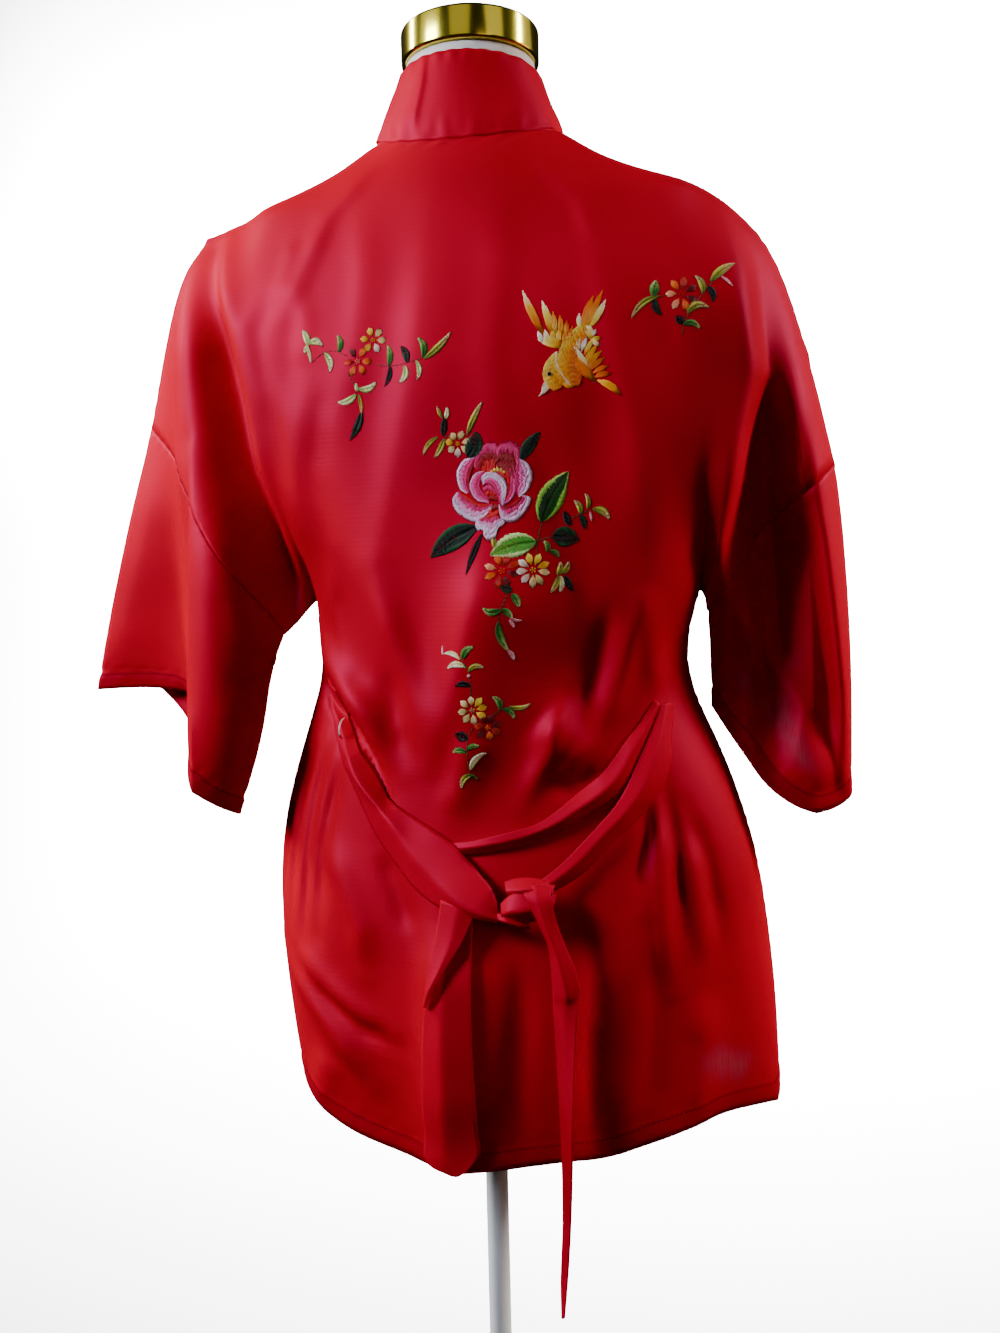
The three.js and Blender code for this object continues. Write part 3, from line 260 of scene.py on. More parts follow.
def silk(name, red, shade, sewn_edges):
    """Plain woven silk: a soft sheen across the folds, fine weft slubs, a little light let through.

    With sewn_edges it reads how far each point is from a hem and from a seam, where it paints shade,
    and where it paints light let through a single layer.
    """
    material, tree, shader = new_material(name)
    place = add_node(tree, "ShaderNodeTexCoord").outputs["Object"]
    along = add_node(tree, "ShaderNodeMapping", {
        "Vector": place,
        "Scale": (1 / (SLUB_LENGTH * MM), 1 / (SLUB_LENGTH * MM), 1 / (SLUB_WIDTH * MM))})
    slubs = add_node(tree, "ShaderNodeTexNoise",
                     {"Vector": along.outputs["Vector"], "Scale": 1.0, "Detail": 3.0})
    # A wave along one axis turns 20 radians in each unit
    weave = add_node(tree, "ShaderNodeTexWave",
                     {"Vector": place, "Scale": 2 * math.pi / 20 / (WEFT_BAND * MM),
                      "Distortion": 0.6},
                     wave_type="BANDS", bands_direction="Z")
    cloud = add_node(tree, "ShaderNodeTexNoise",
                     {"Vector": place, "Scale": DYE_CLOUDS, "Detail": 1.0})
    tone = add_node(tree, "ShaderNodeMix", {6: linear(shade), 7: linear(red)}, data_type="RGBA")
    spread = add_node(tree, "ShaderNodeMapRange",
                      {"Value": cloud.outputs["Fac"], "From Min": 0.35, "From Max": 0.6})
    tree.links.new(spread.outputs["Result"], tone.inputs[0])
    relief = add_node(tree, "ShaderNodeMath", {0: slubs.outputs["Fac"], 1: 0.8},
                      operation="MULTIPLY")
    both = add_node(tree, "ShaderNodeMath", {0: relief.outputs["Value"], 1: weave.outputs["Fac"]},
                    operation="ADD")
    bump = add_node(tree, "ShaderNodeBump", {"Strength": 0.22, "Distance": 0.12 * MM,
                                             "Height": both.outputs["Value"]})
    rough = add_node(tree, "ShaderNodeMapRange",
                     {"Value": slubs.outputs["Fac"], "To Min": 0.44, "To Max": 0.56})
    if sewn_edges:
        # Painted light: where a single layer hangs clear, the light let through it is painted in as
        # a paler colour, with the streaks of its yarn
        clear = add_node(tree, "ShaderNodeAttribute", attribute_name="painted_light_through").outputs["Fac"]
        down = add_node(tree, "ShaderNodeMapping", {
            "Vector": place, "Scale": (1 / (YARN_STREAK * MM), 1 / (YARN_STREAK * MM), 20.0)})
        yarn = add_node(tree, "ShaderNodeTexNoise", {"Vector": down.outputs["Vector"], "Scale": 1.0})
        streak = add_node(tree, "ShaderNodeMapRange",
                          {"Value": yarn.outputs["Fac"], "From Min": 0.3, "From Max": 0.7,
                           "To Min": 0.25, "To Max": 0.6})
        pale = add_node(tree, "ShaderNodeMath", {0: clear, 1: streak.outputs["Result"]},
                        operation="MULTIPLY", use_clamp=True)
        tone = add_node(tree, "ShaderNodeMix", {0: pale.outputs["Value"], 6: tone.outputs[2],
                                                7: linear(SILK_PAINTED_LIGHT_THROUGH)}, data_type="RGBA")
        # Painted shade: the doubled hem is painted a shade deeper where it lets less light through,
        # and each seam gets a thin line of painted shade in its groove; the running stitches are
        # thin dark lines of thread
        hem = add_node(tree, "ShaderNodeAttribute", attribute_name="from_hem").outputs["Fac"]
        seam = add_node(tree, "ShaderNodeAttribute", attribute_name="from_seam").outputs["Fac"]
        # Painted shade: the doubled hem is drawn darker where it lets less light through
        painted_hem_shade = add_node(tree, "ShaderNodeMapRange",
                           {"Value": hem, "From Min": HEM_WIDTH - 0.5, "From Max": HEM_WIDTH + 0.5,
                            "To Min": 0.3, "To Max": 0.0})
        line = add_node(tree, "ShaderNodeMath", {0: hem, 1: HEM_WIDTH - STITCH_IN, 2: 0.4},
                        operation="COMPARE")
        split = add_node(tree, "ShaderNodeSeparateXYZ", {"Vector": place})
        run = add_node(tree, "ShaderNodeMath", {0: split.outputs["Z"], 1: 0.8,
                                                2: split.outputs["X"]}, operation="MULTIPLY_ADD")
        beat = add_node(tree, "ShaderNodeMath", {0: run.outputs["Value"],
                                                 1: 2 * math.pi / (STITCH_PITCH * MM)},
                        operation="MULTIPLY")
        wave = add_node(tree, "ShaderNodeMath", {0: beat.outputs["Value"]}, operation="SINE")
        dash = add_node(tree, "ShaderNodeMath", {0: wave.outputs["Value"], 1: -0.4},
                        operation="GREATER_THAN")
        stitches = add_node(tree, "ShaderNodeMath", {0: line.outputs["Value"],
                                                     1: dash.outputs["Value"]},
                            operation="MULTIPLY")
        # Painted shade in the groove along each seam
        painted_seam_shade = add_node(tree, "ShaderNodeMapRange",
                         {"Value": seam, "From Min": 0.3, "From Max": 1.2, "To Min": 0.3,
                          "To Max": 0.0})
        dark = add_node(tree, "ShaderNodeMath", {0: stitches.outputs["Value"],
                                                 1: painted_seam_shade.outputs["Result"]}, operation="MAXIMUM")
        dark = add_node(tree, "ShaderNodeMath", {0: dark.outputs["Value"],
                                                 1: painted_hem_shade.outputs["Result"]},
                        operation="MAXIMUM")
        tone = add_node(tree, "ShaderNodeMix", {0: dark.outputs["Value"], 6: tone.outputs[2],
                                                7: linear(THREAD_RED_AND_PAINTED_SHADE)}, data_type="RGBA")
    tree.links.new(tone.outputs[2], shader.inputs["Base Color"])
    tree.links.new(rough.outputs["Result"], shader.inputs["Roughness"])
    tree.links.new(bump.outputs["Normal"], shader.inputs["Normal"])
    shader.inputs["IOR"].default_value = 1.3
    shader.inputs["Specular IOR Level"].default_value = 0.04
    satin = add_node(tree, "ShaderNodeBsdfAnisotropic",
                     {"Color": linear(SILK_GLANCE), "Roughness": 0.56,
                      "Normal": bump.outputs["Normal"]})
    through = add_node(tree, "ShaderNodeBsdfTranslucent", {"Color": linear(red)})
    glossed = add_node(tree, "ShaderNodeMixShader",
                       {0: SATIN_SHARE, 1: shader.outputs["BSDF"], 2: satin.outputs["BSDF"]})
    mixed = add_node(tree, "ShaderNodeMixShader",
                     {0: THROUGH_SHARE, 1: glossed.outputs["Shader"],
                      2: through.outputs["BSDF"]})
    output = next(n for n in tree.nodes if n.bl_idname == "ShaderNodeOutputMaterial")
    tree.links.new(mixed.outputs["Shader"], output.inputs["Surface"])
    return material


robe_silk = silk("plain_woven_silk", SILK_RED, SILK_SHADE, True)


def other_edge(face, edge, corner):
    """The edge of a triangle that meets another of its edges at a corner."""
    return next(e for e in face.edges if e is not edge and corner in e.verts)


def tree_of(points):
    """A search tree of points."""
    tree = KDTree(len(points))
    for k, point in enumerate(points):
        tree.insert(Vector(point), k)
    tree.balance()
    return tree


def nearest(tree, points):
    """For each point, which of a tree's points is the nearest, and how far off it is in mm."""
    found = [tree.find(Vector(point)) for point in points]
    return np.array([k for place, k, gap in found]), np.array([gap for place, k, gap in found]) / MM


def outer_grid(node, middle):
    """The outer skin of a thin walled CAD piece as four-sided cells.

    middle is a point (x, y) in metres that the outer skin faces away from.
    """
    bm = merged_copy(node)
    bm.verts.index_update()
    # The wall is thin, so a corner's partner on its other skin is the nearest one
    tree = tree_of([corner.co for corner in bm.verts])
    partner = [tree.find_n(corner.co, 2)[1][1] for corner in bm.verts]
    rim = [face for face in bm.faces
           if any(partner[a.index] == b.index for a in face.verts for b in face.verts)]
    bmesh.ops.delete(bm, geom=rim, context="FACES")
    away = Vector((middle[0], middle[1], 0.0))
    left = set(bm.faces)
    skins = []
    while left:
        stack = [left.pop()]
        skin = list(stack)
        while stack:
            for edge in stack.pop().edges:
                for face in edge.link_faces:
                    if face in left:
                        left.remove(face)
                        stack.append(face)
                        skin.append(face)
        flow = 0.0
        for face in skin:
            out = face.calc_center_median() - away
            flow += face.calc_area() * (face.normal.x * out.x + face.normal.y * out.y)
        skins.append((flow, skin))
    skins.sort(key=lambda pair: pair[0])
    for flow, skin in skins[:-1]:
        bmesh.ops.delete(bm, geom=skin, context="FACES")
    bm.faces.ensure_lookup_table()
    # Each cell was split on the same diagonal, so edges fall into three directions
    first = bm.faces[0]
    direction = {edge: k for k, edge in enumerate(first.edges)}
    seen = {first}
    stack = [first]
    while stack:
        face = stack.pop()
        for edge in face.edges:
            for beside in edge.link_faces:
                if beside in seen:
                    continue
                seen.add(beside)
                stack.append(beside)
                a, b = edge.verts
                direction.setdefault(other_edge(beside, edge, a),
                                     direction[other_edge(face, edge, b)])
                direction.setdefault(other_edge(beside, edge, b),
                                     direction[other_edge(face, edge, a)])
    length = [0.0, 0.0, 0.0]
    for edge, k in direction.items():
        length[k] += edge.calc_length()
        if edge.is_boundary:
            length[k] = -1e9
    diagonal = length.index(max(length))
    bmesh.ops.dissolve_edges(bm, edges=[e for e, k in direction.items() if k == diagonal],
                             use_verts=False)
    return bm


def along_line(points):
    """The length run along a line of points up to each of them."""
    return np.concatenate([[0.0], np.cumsum(np.hypot(*(points[1:] - points[:-1]).T))])


def smoothstep(value):
    """Eases from 0 to 1, flat at both ends."""
    value = np.clip(value, 0.0, 1.0)
    return value * value * (3 - 2 * value)


def fold_height(x, z, folds):
    """Height in mm of a table of folds at places (x, z) in mm.

    A fold is its height (a trough's is negative), its half widths on the +X side and on the -X
    side, and the points (x, z) of its crest from the top down. It dies out at both ends.
    """
    total = np.zeros(len(x))
    for height, plus, minus, points in folds:
        points = np.array(points, float)
        parts = points[1:] - points[:-1]
        lengths = np.hypot(parts[:, 0], parts[:, 1])
        run = along_line(points)
        best = np.full(len(x), 1e9)
        side = np.zeros(len(x))
        along = np.zeros(len(x))
        for k, part in enumerate(parts):
            dx, dz = x - points[k, 0], z - points[k, 1]
            t = np.clip((dx * part[0] + dz * part[1]) / lengths[k] ** 2, 0, 1)
            gap = np.hypot(dx - t * part[0], dz - t * part[1])
            nearer = gap < best
            best = np.where(nearer, gap, best)
            # A crest runs downwards, so its +X side is on the left of that run
            cross = (part[0] * dz - part[1] * dx) / lengths[k] / np.maximum(gap, 1e-6)
            side = np.where(nearer, np.clip(cross, -1, 1), side)
            along = np.where(nearer, run[k] + t * lengths[k], along)
        width = minus + (plus - minus) * (0.5 + 0.5 * side)
        end = np.minimum(along, run[-1] - along) / (0.3 * run[-1])
        total += height * np.exp(-(best / width) ** 2) * (0.25 + 0.75 * smoothstep(end))
    return total


def edge_samples(mesh, hem_test):
    """Marks about 1 mm apart along a sheet's open edges.

    Each mark is the two mesh points it lies between, its share of the way from the first to the
    second, and whether it lies on a hem.
    """
    bm = bmesh.new()
    bm.from_mesh(mesh)
    marks = []
    for edge in bm.edges:
        if edge.is_boundary:
            a, b = edge.verts
            steps = max(1, round(edge.calc_length() / MM))
            hem = hem_test((a.co + b.co) / 2 / MM)
            marks += [(a.index, b.index, (k + 0.5) / steps, hem) for k in range(steps)]
    bm.free()
    first, second, way, hem = (np.array(column) for column in zip(*marks))
    return first, second, way[:, None], hem


def distances(points, others):
    """Distance in mm of each point from the nearest of some others, which may be none."""
    if not len(others):
        return np.full(len(points), 1e4)
    return nearest(tree_of(others), points)[1]


def coordinates(mesh):
    """The places and normals of a mesh's points, as arrays."""
    places = np.empty(len(mesh.vertices) * 3, np.float32)
    mesh.vertices.foreach_get("co", places)
    normals = np.empty(len(mesh.vertices) * 3, np.float32)
    mesh.vertex_normals.foreach_get("vector", normals)
    return places.reshape(-1, 3).astype(float), normals.reshape(-1, 3).astype(float)


# Folds seen from behind. The first four rows are the deep ones where the cloth of the back rolls
# over the top of each sleeve
BACK_FOLDS = (
    (-32.0, 24, 9, ((211, 1340), (203, 1300), (192, 1262), (183, 1215), (175, 1160), (161, 1110),
                    (152, 1070), (146, 1030), (140, 990))),
    (5.0, 6, 20, ((195, 1322), (186, 1284), (173, 1244), (164, 1206), (158, 1150), (150, 1110))),
    (-20.0, 8, 22, ((-214, 1340), (-226, 1300), (-230, 1254), (-235, 1219), (-227, 1178),
                    (-219, 1137), (-208, 1094), (-197, 1050))),
    (4.0, 18, 6, ((-200, 1330), (-210, 1290), (-214, 1246), (-218, 1214), (-209, 1160),
                  (-196, 1100))),
    # From the shoulders down to the small of the back
    (5.0, 18, 40, ((14, 1340), (18, 1281), (24, 1230), (35, 1180), (46, 1126), (55, 1085),
                   (60, 1040))),
    (2.0, 8, 10, ((124, 1334), (131, 1303), (137, 1280))),
    (2.0, 8, 10, ((102, 1340), (114, 1309), (121, 1290), (131, 1272))),
    (1.6, 8, 10, ((119, 1286), (113, 1266), (117, 1228))),
    (2.4, 9, 14, ((128, 1290), (142, 1258), (138, 1224), (130, 1186), (124, 1130))),
    (2.0, 9, 12, ((150, 1296), (164, 1264), (158, 1228), (147, 1186))),
    (5.4, 18, 30, ((108, 1236), (115, 1197), (120, 1164), (129, 1119), (134, 1066))),
    (-2.0, 10, 12, ((98, 1222), (103, 1186), (107, 1146))),
    (1.8, 12, 16, ((72, 1352), (66, 1300), (70, 1250), (84, 1186))),
    (1.6, 16, 12, ((-34, 1364), (-38, 1300), (-30, 1230), (-36, 1150))),
    (2.0, 14, 18, ((-98, 1352), (-112, 1290), (-128, 1220), (-140, 1150), (-150, 1080))),
    (2.2, 12, 20, ((-160, 1312), (-172, 1260), (-176, 1200), (-170, 1124))),
    (-2.8, 11, 18, ((-58, 1196), (-76, 1120), (-90, 1060), (-98, 990))),
    (2.0, 8, 12, ((-60, 1388), (-74, 1368), (-96, 1344), (-110, 1306))),
    (2.0, 12, 8, ((62, 1390), (78, 1368), (98, 1344), (112, 1308))),
    # The roll of cloth that blouses over the left band, and the hollow under it
    (9.0, 7, 12, ((124, 1034), (106, 1002), (94, 982), (82, 966), (70, 954), (58, 940), (44, 922))),
    (-13.0, 5, 5, ((130, 1000), (112, 974), (99, 961), (87, 950), (76, 937), (65, 920),
                   (56, 902))),
    # Drawn in by the sash
    (12.0, 21, 44, ((-34, 1100), (-20, 1050), (-6, 1000), (8, 958), (22, 912))),
    (-4.0, 12, 12, ((48, 1010), (52, 966), (50, 925))),
    (6.5, 11, 16, ((-16, 960), (-4, 922), (8, 890))),
    (6.0, 12, 14, ((66, 1080), (50, 1030), (30, 972), (24, 930))),
    (9.0, 8, 13, ((128, 1030), (110, 1002), (92, 984), (72, 968), (54, 956))),
    (-8.0, 14, 12, ((116, 976), (100, 954), (84, 934))),
    (5.0, 9, 10, ((100, 1094), (106, 1050), (94, 1010), (80, 986))),
    (9.5, 18, 18, ((-62, 968), (-82, 946), (-98, 926))),
    (-5.0, 8, 8, ((-72, 918), (-88, 912), (-106, 924))),
    (6.0, 7, 10, ((-50, 900), (-60, 920), (-72, 944), (-84, 990))),
    (5.0, 8, 9, ((-102, 944), (-116, 974), (-128, 1010), (-136, 1050))),
    (-4.5, 7, 8, ((-92, 966), (-104, 1002), (-114, 1046))),
    (4.0, 9, 12, ((-138, 1066), (-146, 1014), (-150, 972))),
    # The skirt, gathered below the sash: fans from both sides, and falls from the knot
    (-4.6, 6, 7, ((-142, 904), (-139, 872), (-130, 830))),
    (-4.6, 6, 7, ((-152, 914), (-160, 866), (-166, 800))),
    (-4.4, 6, 7, ((-168, 894), (-184, 850), (-194, 790))),
    (4.6, 7, 7, ((-147, 900), (-151, 866), (-151, 820), (-158, 760))),
    (4.2, 8, 8, ((-172, 880), (-177, 836), (-184, 770))),
    (-7.6, 5, 7, ((120, 952), (140, 900), (147, 851), (151, 790))),
    (-7.6, 5, 7, ((110, 950), (126, 897), (132, 855), (135, 780))),
    (-6.4, 5, 8, ((100, 936), (110, 888), (117, 857), (120, 790))),
    (-6.8, 4, 6, ((128, 950), (153, 895), (161, 845), (166, 780))),
    (6.0, 10, 13, ((112, 872), (97, 842), (80, 805), (76, 770))),
    (-6.0, 9, 9, ((62, 866), (50, 838), (34, 800))),
    (6.5, 8, 11, ((148, 786), (114, 754), (82, 732), (56, 722))),
    (7.5, 9, 11, ((162, 772), (128, 740), (99, 711), (70, 682))),
    (-6.0, 7, 7, ((134, 760), (104, 738), (77, 724), (44, 716))),
    (13.0, 13, 52, ((12, 822), (16, 770), (14, 710), (18, 646))),
    (-5.0, 12, 12, ((-44, 800), (-48, 750), (-44, 690), (-48, 646))),
    (7.0, 14, 30, ((-106, 826), (-112, 780), (-108, 720), (-102, 646))),
    (-5.0, 10, 14, ((-140, 806), (-147, 750), (-142, 690), (-134, 652))),
    (6.0, 12, 14, ((-176, 760), (-184, 720), (-180, 670), (-176, 652))),
    (4.0, 10, 14, ((112, 700), (120, 672), (124, 650))),
)

# Folds seen from the front. The fronts hang from the shoulders and are drawn in at the waist
FRONT_FOLDS = (
    (3.0, 16, 12, ((60, 1370), (74, 1290), (82, 1200), (70, 1110), (60, 1010))),
    (-2.4, 12, 12, ((110, 1330), (116, 1250), (110, 1170), (96, 1080))),
    (3.2, 14, 14, ((140, 1320), (150, 1240), (140, 1160), (126, 1080), (116, 1000))),
    (3.0, 14, 16, ((-64, 1370), (-80, 1290), (-86, 1200), (-76, 1110), (-66, 1010))),
    (-2.4, 12, 12, ((-112, 1330), (-120, 1250), (-112, 1160), (-98, 1080))),
    (3.0, 14, 14, ((-146, 1310), (-154, 1230), (-142, 1150), (-128, 1070), (-118, 1000))),
    (3.6, 10, 12, ((84, 930), (92, 850), (104, 760), (110, 660))),
    (-3.2, 10, 10, ((64, 930), (66, 850), (72, 760), (78, 650))),
    (3.4, 12, 10, ((128, 930), (140, 850), (152, 760), (158, 660))),
    (3.4, 12, 10, ((-88, 930), (-96, 850), (-106, 760), (-112, 660))),
    (-3.2, 10, 10, ((-66, 930), (-70, 850), (-74, 760), (-80, 650))),
    (3.2, 10, 12, ((-130, 930), (-142, 850), (-150, 760), (-156, 660))),
    (3.0, 10, 10, ((96, 1030), (104, 1000), (116, 980))),
    (3.0, 10, 10, ((-98, 1030), (-106, 1004), (-118, 982))),
)

# Folds of the two lower sleeves, seen from behind and from the front
SLEEVE_FOLDS = (
    # The near half of the left sleeve hangs in front of the far half
    (-13.0, 34, 4, ((226, 1176), (224, 1130), (225, 1088), (227, 1040), (231, 993), (232, 944),
                    (233, 890))),
    (9.0, 30, 18, ((184, 1170), (184, 1088), (186, 1020), (188, 950), (190, 880))),
    (-3.0, 12, 10, ((190, 1080), (186, 1040), (182, 1000), (180, 960))),
    # The far half is creased from the shoulder to the cuff
    (6.0, 20, 34, ((262, 1190), (280, 1149), (295, 1106), (318, 1044), (337, 986), (346, 960))),
    # The right sleeve is thrown outwards in one long turn, with a hollow under it
    (5.5, 7, 10, ((-190, 1064), (-212, 1035), (-234, 1008), (-248, 978), (-262, 958),
                  (-258, 932), (-251, 908))),
    (-5.0, 16, 8, ((-196, 1030), (-214, 1004), (-230, 976), (-240, 944), (-240, 912))),
    (-28.0, 42, 8, ((-258, 1150), (-261, 1108), (-267, 1070), (-275, 1016), (-281, 968),
                    (-286, 900))),
)

# Patches of painted light let through, where the cloth hangs clear in one layer, written as folds of
# height 1
PAINTED_LIGHT_THROUGH_PATCHES = (
    (1.0, 7, 9, ((-208, 1000), (-214, 984), (-222, 968), (-236, 948), (-246, 934))),
    (1.0, 8, 9, ((-240, 984), (-244, 966), (-252, 940), (-262, 918), (-276, 902))),
    (1.0, 14, 12, ((-176, 712), (-190, 704), (-204, 694), (-224, 684))),
)

COLLAR_FOLDS = (
    (1.8, 12, 3, ((25, 1470), (27, 1446), (32, 1422), (36, 1404))),
    (-0.9, 8, 8, ((-30, 1466), (-34, 1436), (-30, 1408))),
)


def fold_shift(places, normals):
    """How far the robe's folds move points of its cloth along Y, in mm.

    The shift depends on the place and on the way the cloth faces, which pieces share along a
    seam, so they stay together there.
    """
    x, z = places[:, 0] / MM, places[:, 2] / MM
    behind = smoothstep((normals[:, 1] - 0.02) / 0.35)
    before = smoothstep((-normals[:, 1] - 0.02) / 0.35)
    free = 1 - smoothstep((z - NECK_FREE_Z) / NECK_EASE)
    back = fold_height(x, z, BACK_FOLDS) + fold_height(x, z, SLEEVE_FOLDS)
    return free * (behind * back - before * fold_height(x, z, FRONT_FOLDS))


BODY_HEM_Z = 672  # mm, below which an edge of the body is its hem
CUFF_HEM_Z = 1000  # mm, the same for a sleeve
SHARP_TURN = 0.5  # radians; a cut edge that turns more keeps its corner


def body_hem(point):
    """True on the bottom hem of the body."""
    return point.z < BODY_HEM_Z


def cuff_hem(point):
    """True on the open end of a sleeve."""
    return point.z < CUFF_HEM_Z


def no_hem(point):
    """True nowhere: every edge of the piece is a seam or a fold."""
    return False


def keep_corners(bm):
    """Keeps the corners along the cut edges, where seams meet, from being rounded away."""
    kept = bm.verts.layers.float.new("crease_vert")
    for corner in bm.verts:
        ways = [edge.other_vert(corner).co - corner.co for edge in corner.link_edges
                if edge.is_boundary]
        if len(ways) == 2 and ways[0].angle(ways[1]) < math.pi - SHARP_TURN:
            corner[kept] = 1.0


ROBE = (
    # node, point (x, y) mm it faces away from, hem test, smoothing levels
    ("back", (0, 0), body_hem, 3),
    ("front_left", (0, 0), body_hem, 2),
    ("front_right", (0, 0), body_hem, 2),
    ("sleeve_left", (258, 37), cuff_hem, 3),
    ("sleeve_right", (-244, 2), cuff_hem, 3),
    ("collar", (0, -20), no_hem, 3),
    ("band_left", (0, 0), no_hem, 2),
    ("band_right", (0, 0), no_hem, 2),
)

SLEEVE_FOLD_GAP = 2.5  # mm, closed along the fold at the top of a sleeve
SEAM_REACH = 3.0  # mm, within which two edges are sewn to each other
NECK_REACH = 7.5  # mm, the same round the neck point, where five edges come together
NECK_POINT = 1385  # mm, above which that holds
SEAM_FADE = 3.0  # mm over which that wider reach lets go
SEAM_EASE = 12.0  # mm over which the cloth follows its sewn edge
SLEEVE_BLEND = 22.0  # mm from its seam over which a sleeve takes the back's facing
BACK_BLEND = 6.0  # mm past the back's own edge over which it stops doing so
HEM_STAND = 0.5  # mm that the turned hem stands proud
STITCH_DRAW = 0.7  # mm that its stitching draws it in, over HEM_EASE
HEM_EASE = 3.0
SEAM_DRAW = 0.3  # mm that a seam is pulled in by its thread
SEAM_PUCKER = 0.45  # mm, height of its puckers
HEM_PUCKER = 0.4
PUCKER_PITCH = 13  # mm from one pucker to the next
PUCKER_DRIFT = 31  # mm, so that they don't come in step

skins = {}
back_points = None
back_facing = None
sewn_before = np.empty((0, 3))
sewn_after = np.empty((0, 3))
for node, middle, hem_test, levels in ROBE:
    bm = outer_grid(node, (middle[0] * MM, middle[1] * MM))
    if node.startswith("sleeve"):
        bmesh.ops.remove_doubles(bm, verts=[corner for corner in bm.verts if corner.is_boundary],
                                 dist=SLEEVE_FOLD_GAP * MM)
    keep_sharp(bm, 0.6)
    keep_corners(bm)
    piece = new_piece("silk_" + node, bm, robe_silk)
    smooth_grid(piece, levels)
    mesh = piece.data
    places, normals = coordinates(mesh)
    before = places.copy()
    first, second, way, hem = edge_samples(mesh, hem_test)
    marks_before = before[first] * (1 - way) + before[second] * way
    from_seam = distances(places, marks_before[~hem])
    from_hem = distances(places, marks_before[hem])
    facing = normals
    if node == "back":
        back_points = tree_of(places)
        back_facing = normals
    elif node.startswith("sleeve"):
        # Near its seam a sleeve takes the way that the back faces there, so both move as one
        near, gaps = nearest(back_points, places)
        beyond = gaps - from_seam
        share = np.exp(-(from_seam / SLEEVE_BLEND) ** 2 - (beyond / BACK_BLEND) ** 2)[:, None]
        facing = normals * (1 - share) + back_facing[near] * share
    if node != "collar":
        places[:, 1] += fold_shift(places, facing) * MM
        mesh.vertices.foreach_set("co", places.astype(np.float32).ravel())
        mesh.update()
        places, normals = coordinates(mesh)
    else:
        lift = fold_height(places[:, 0] / MM, places[:, 2] / MM, COLLAR_FOLDS)
        places[:, 1] += lift * smoothstep(normals[:, 1] / 0.5) * MM
    # Painted light: where light comes through the single layer, the cloth is painted paler
    painted_light_through = fold_height(before[:, 0] / MM, before[:, 2] / MM, PAINTED_LIGHT_THROUGH_PATCHES)
    painted_light_through *= smoothstep((normals[:, 1] - 0.1) / 0.4)
    for name, values in (("from_hem", from_hem), ("from_seam", from_seam), ("painted_light_through", painted_light_through)):
        layer = mesh.attributes.new(name, "FLOAT", "POINT")
        layer.data.foreach_set("value", values.astype(np.float32))
    # The turned hem stands proud, and its stitching draws it in at the top
    height = HEM_STAND * smoothstep((HEM_WIDTH - from_hem) / HEM_EASE)
    height -= STITCH_DRAW * np.exp(-((from_hem - HEM_WIDTH) / HEM_EASE) ** 2)
    # Seams are pulled in a little by their thread, and pucker
    run = places[:, 2] + places[:, 0] * 0.6 if node != "collar" else places[:, 0]
    ripple = np.sin(run / MM * 2 * math.pi / PUCKER_PITCH + 1.4 * np.sin(run / MM / PUCKER_DRIFT))
    height += (SEAM_PUCKER * ripple - SEAM_DRAW) * np.exp(-(from_seam / 7) ** 2)
    height += HEM_PUCKER * ripple * np.exp(-((from_hem - HEM_WIDTH) / 8) ** 2)
    places += normals * (height * MM)[:, None]
    # Its edges are sewn to the edges of the pieces before it, and the cloth beside them follows
    if len(sewn_before):
        rim = np.unique(np.concatenate([first, second]))
        partner, gaps = nearest(tree_of(sewn_before), before[rim])
        at_neck = smoothstep((before[rim, 2] / MM - NECK_POINT) / 10)
        reach = SEAM_REACH + (NECK_REACH - SEAM_REACH) * at_neck
        sewn = gaps < reach
        share = np.where(gaps < SEAM_REACH, 1.0, smoothstep((reach - gaps) / SEAM_FADE))[sewn]
        pull = (sewn_after[partner[sewn]] - places[rim[sewn]]) * share[:, None]
        near, gaps = nearest(tree_of(before[rim[sewn]]), before)
        places += pull[near] * np.exp(-(gaps / SEAM_EASE) ** 2)[:, None]
    sewn_before = np.concatenate([sewn_before, marks_before])
    sewn_after = np.concatenate([sewn_after, places[first] * (1 - way) + places[second] * way])
    mesh.vertices.foreach_set("co", places.astype(np.float32).ravel())
    mesh.update()
    skins[node] = piece


def give_wall(piece, thick):
    """Thickens a piece's skin inwards, thick in mm."""
    wall = piece.modifiers.new("wall", "SOLIDIFY")
    wall.thickness = thick * MM
    wall.offset = -1.0


for piece in skins.values():
    give_wall(piece, SILK_THICK)

# Every cut piece of the robe: its node, its cut size (m) and area (m2), and what holds it
ROBE_CUT = (
    ("back", (0.66, 0.80), 0.44, "draped"),
    ("front_left", (0.42, 0.80), 0.225, "draped"),
    ("front_right", (0.42, 0.80), 0.245, "draped"),
    ("sleeve_left", (0.46, 0.28), 0.098, "hung"),
    ("sleeve_right", (0.46, 0.26), 0.067, "hung"),
    ("collar", (0.21, 0.07), None, "stretched"),
    ("band_left", (0.055, 0.90), None, "hung"),
    ("band_right", (0.055, 0.90), None, "hung"),
)
for node, flat, area, held in ROBE_CUT:
    piece = skins[node]
    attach(piece, "root")
    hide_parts(node)

# ---------------------------------------------------------------------------------------------
# Embroidery. A peony with its leaves, sprigs of small flowers and a flying songbird, worked by hand
# on the back in untwisted silk floss: satin stitch leaves and petals, long and short stitch in the
# peony and the bird, stem stitch for stalks and outlines, knots in the middles of the flowers.

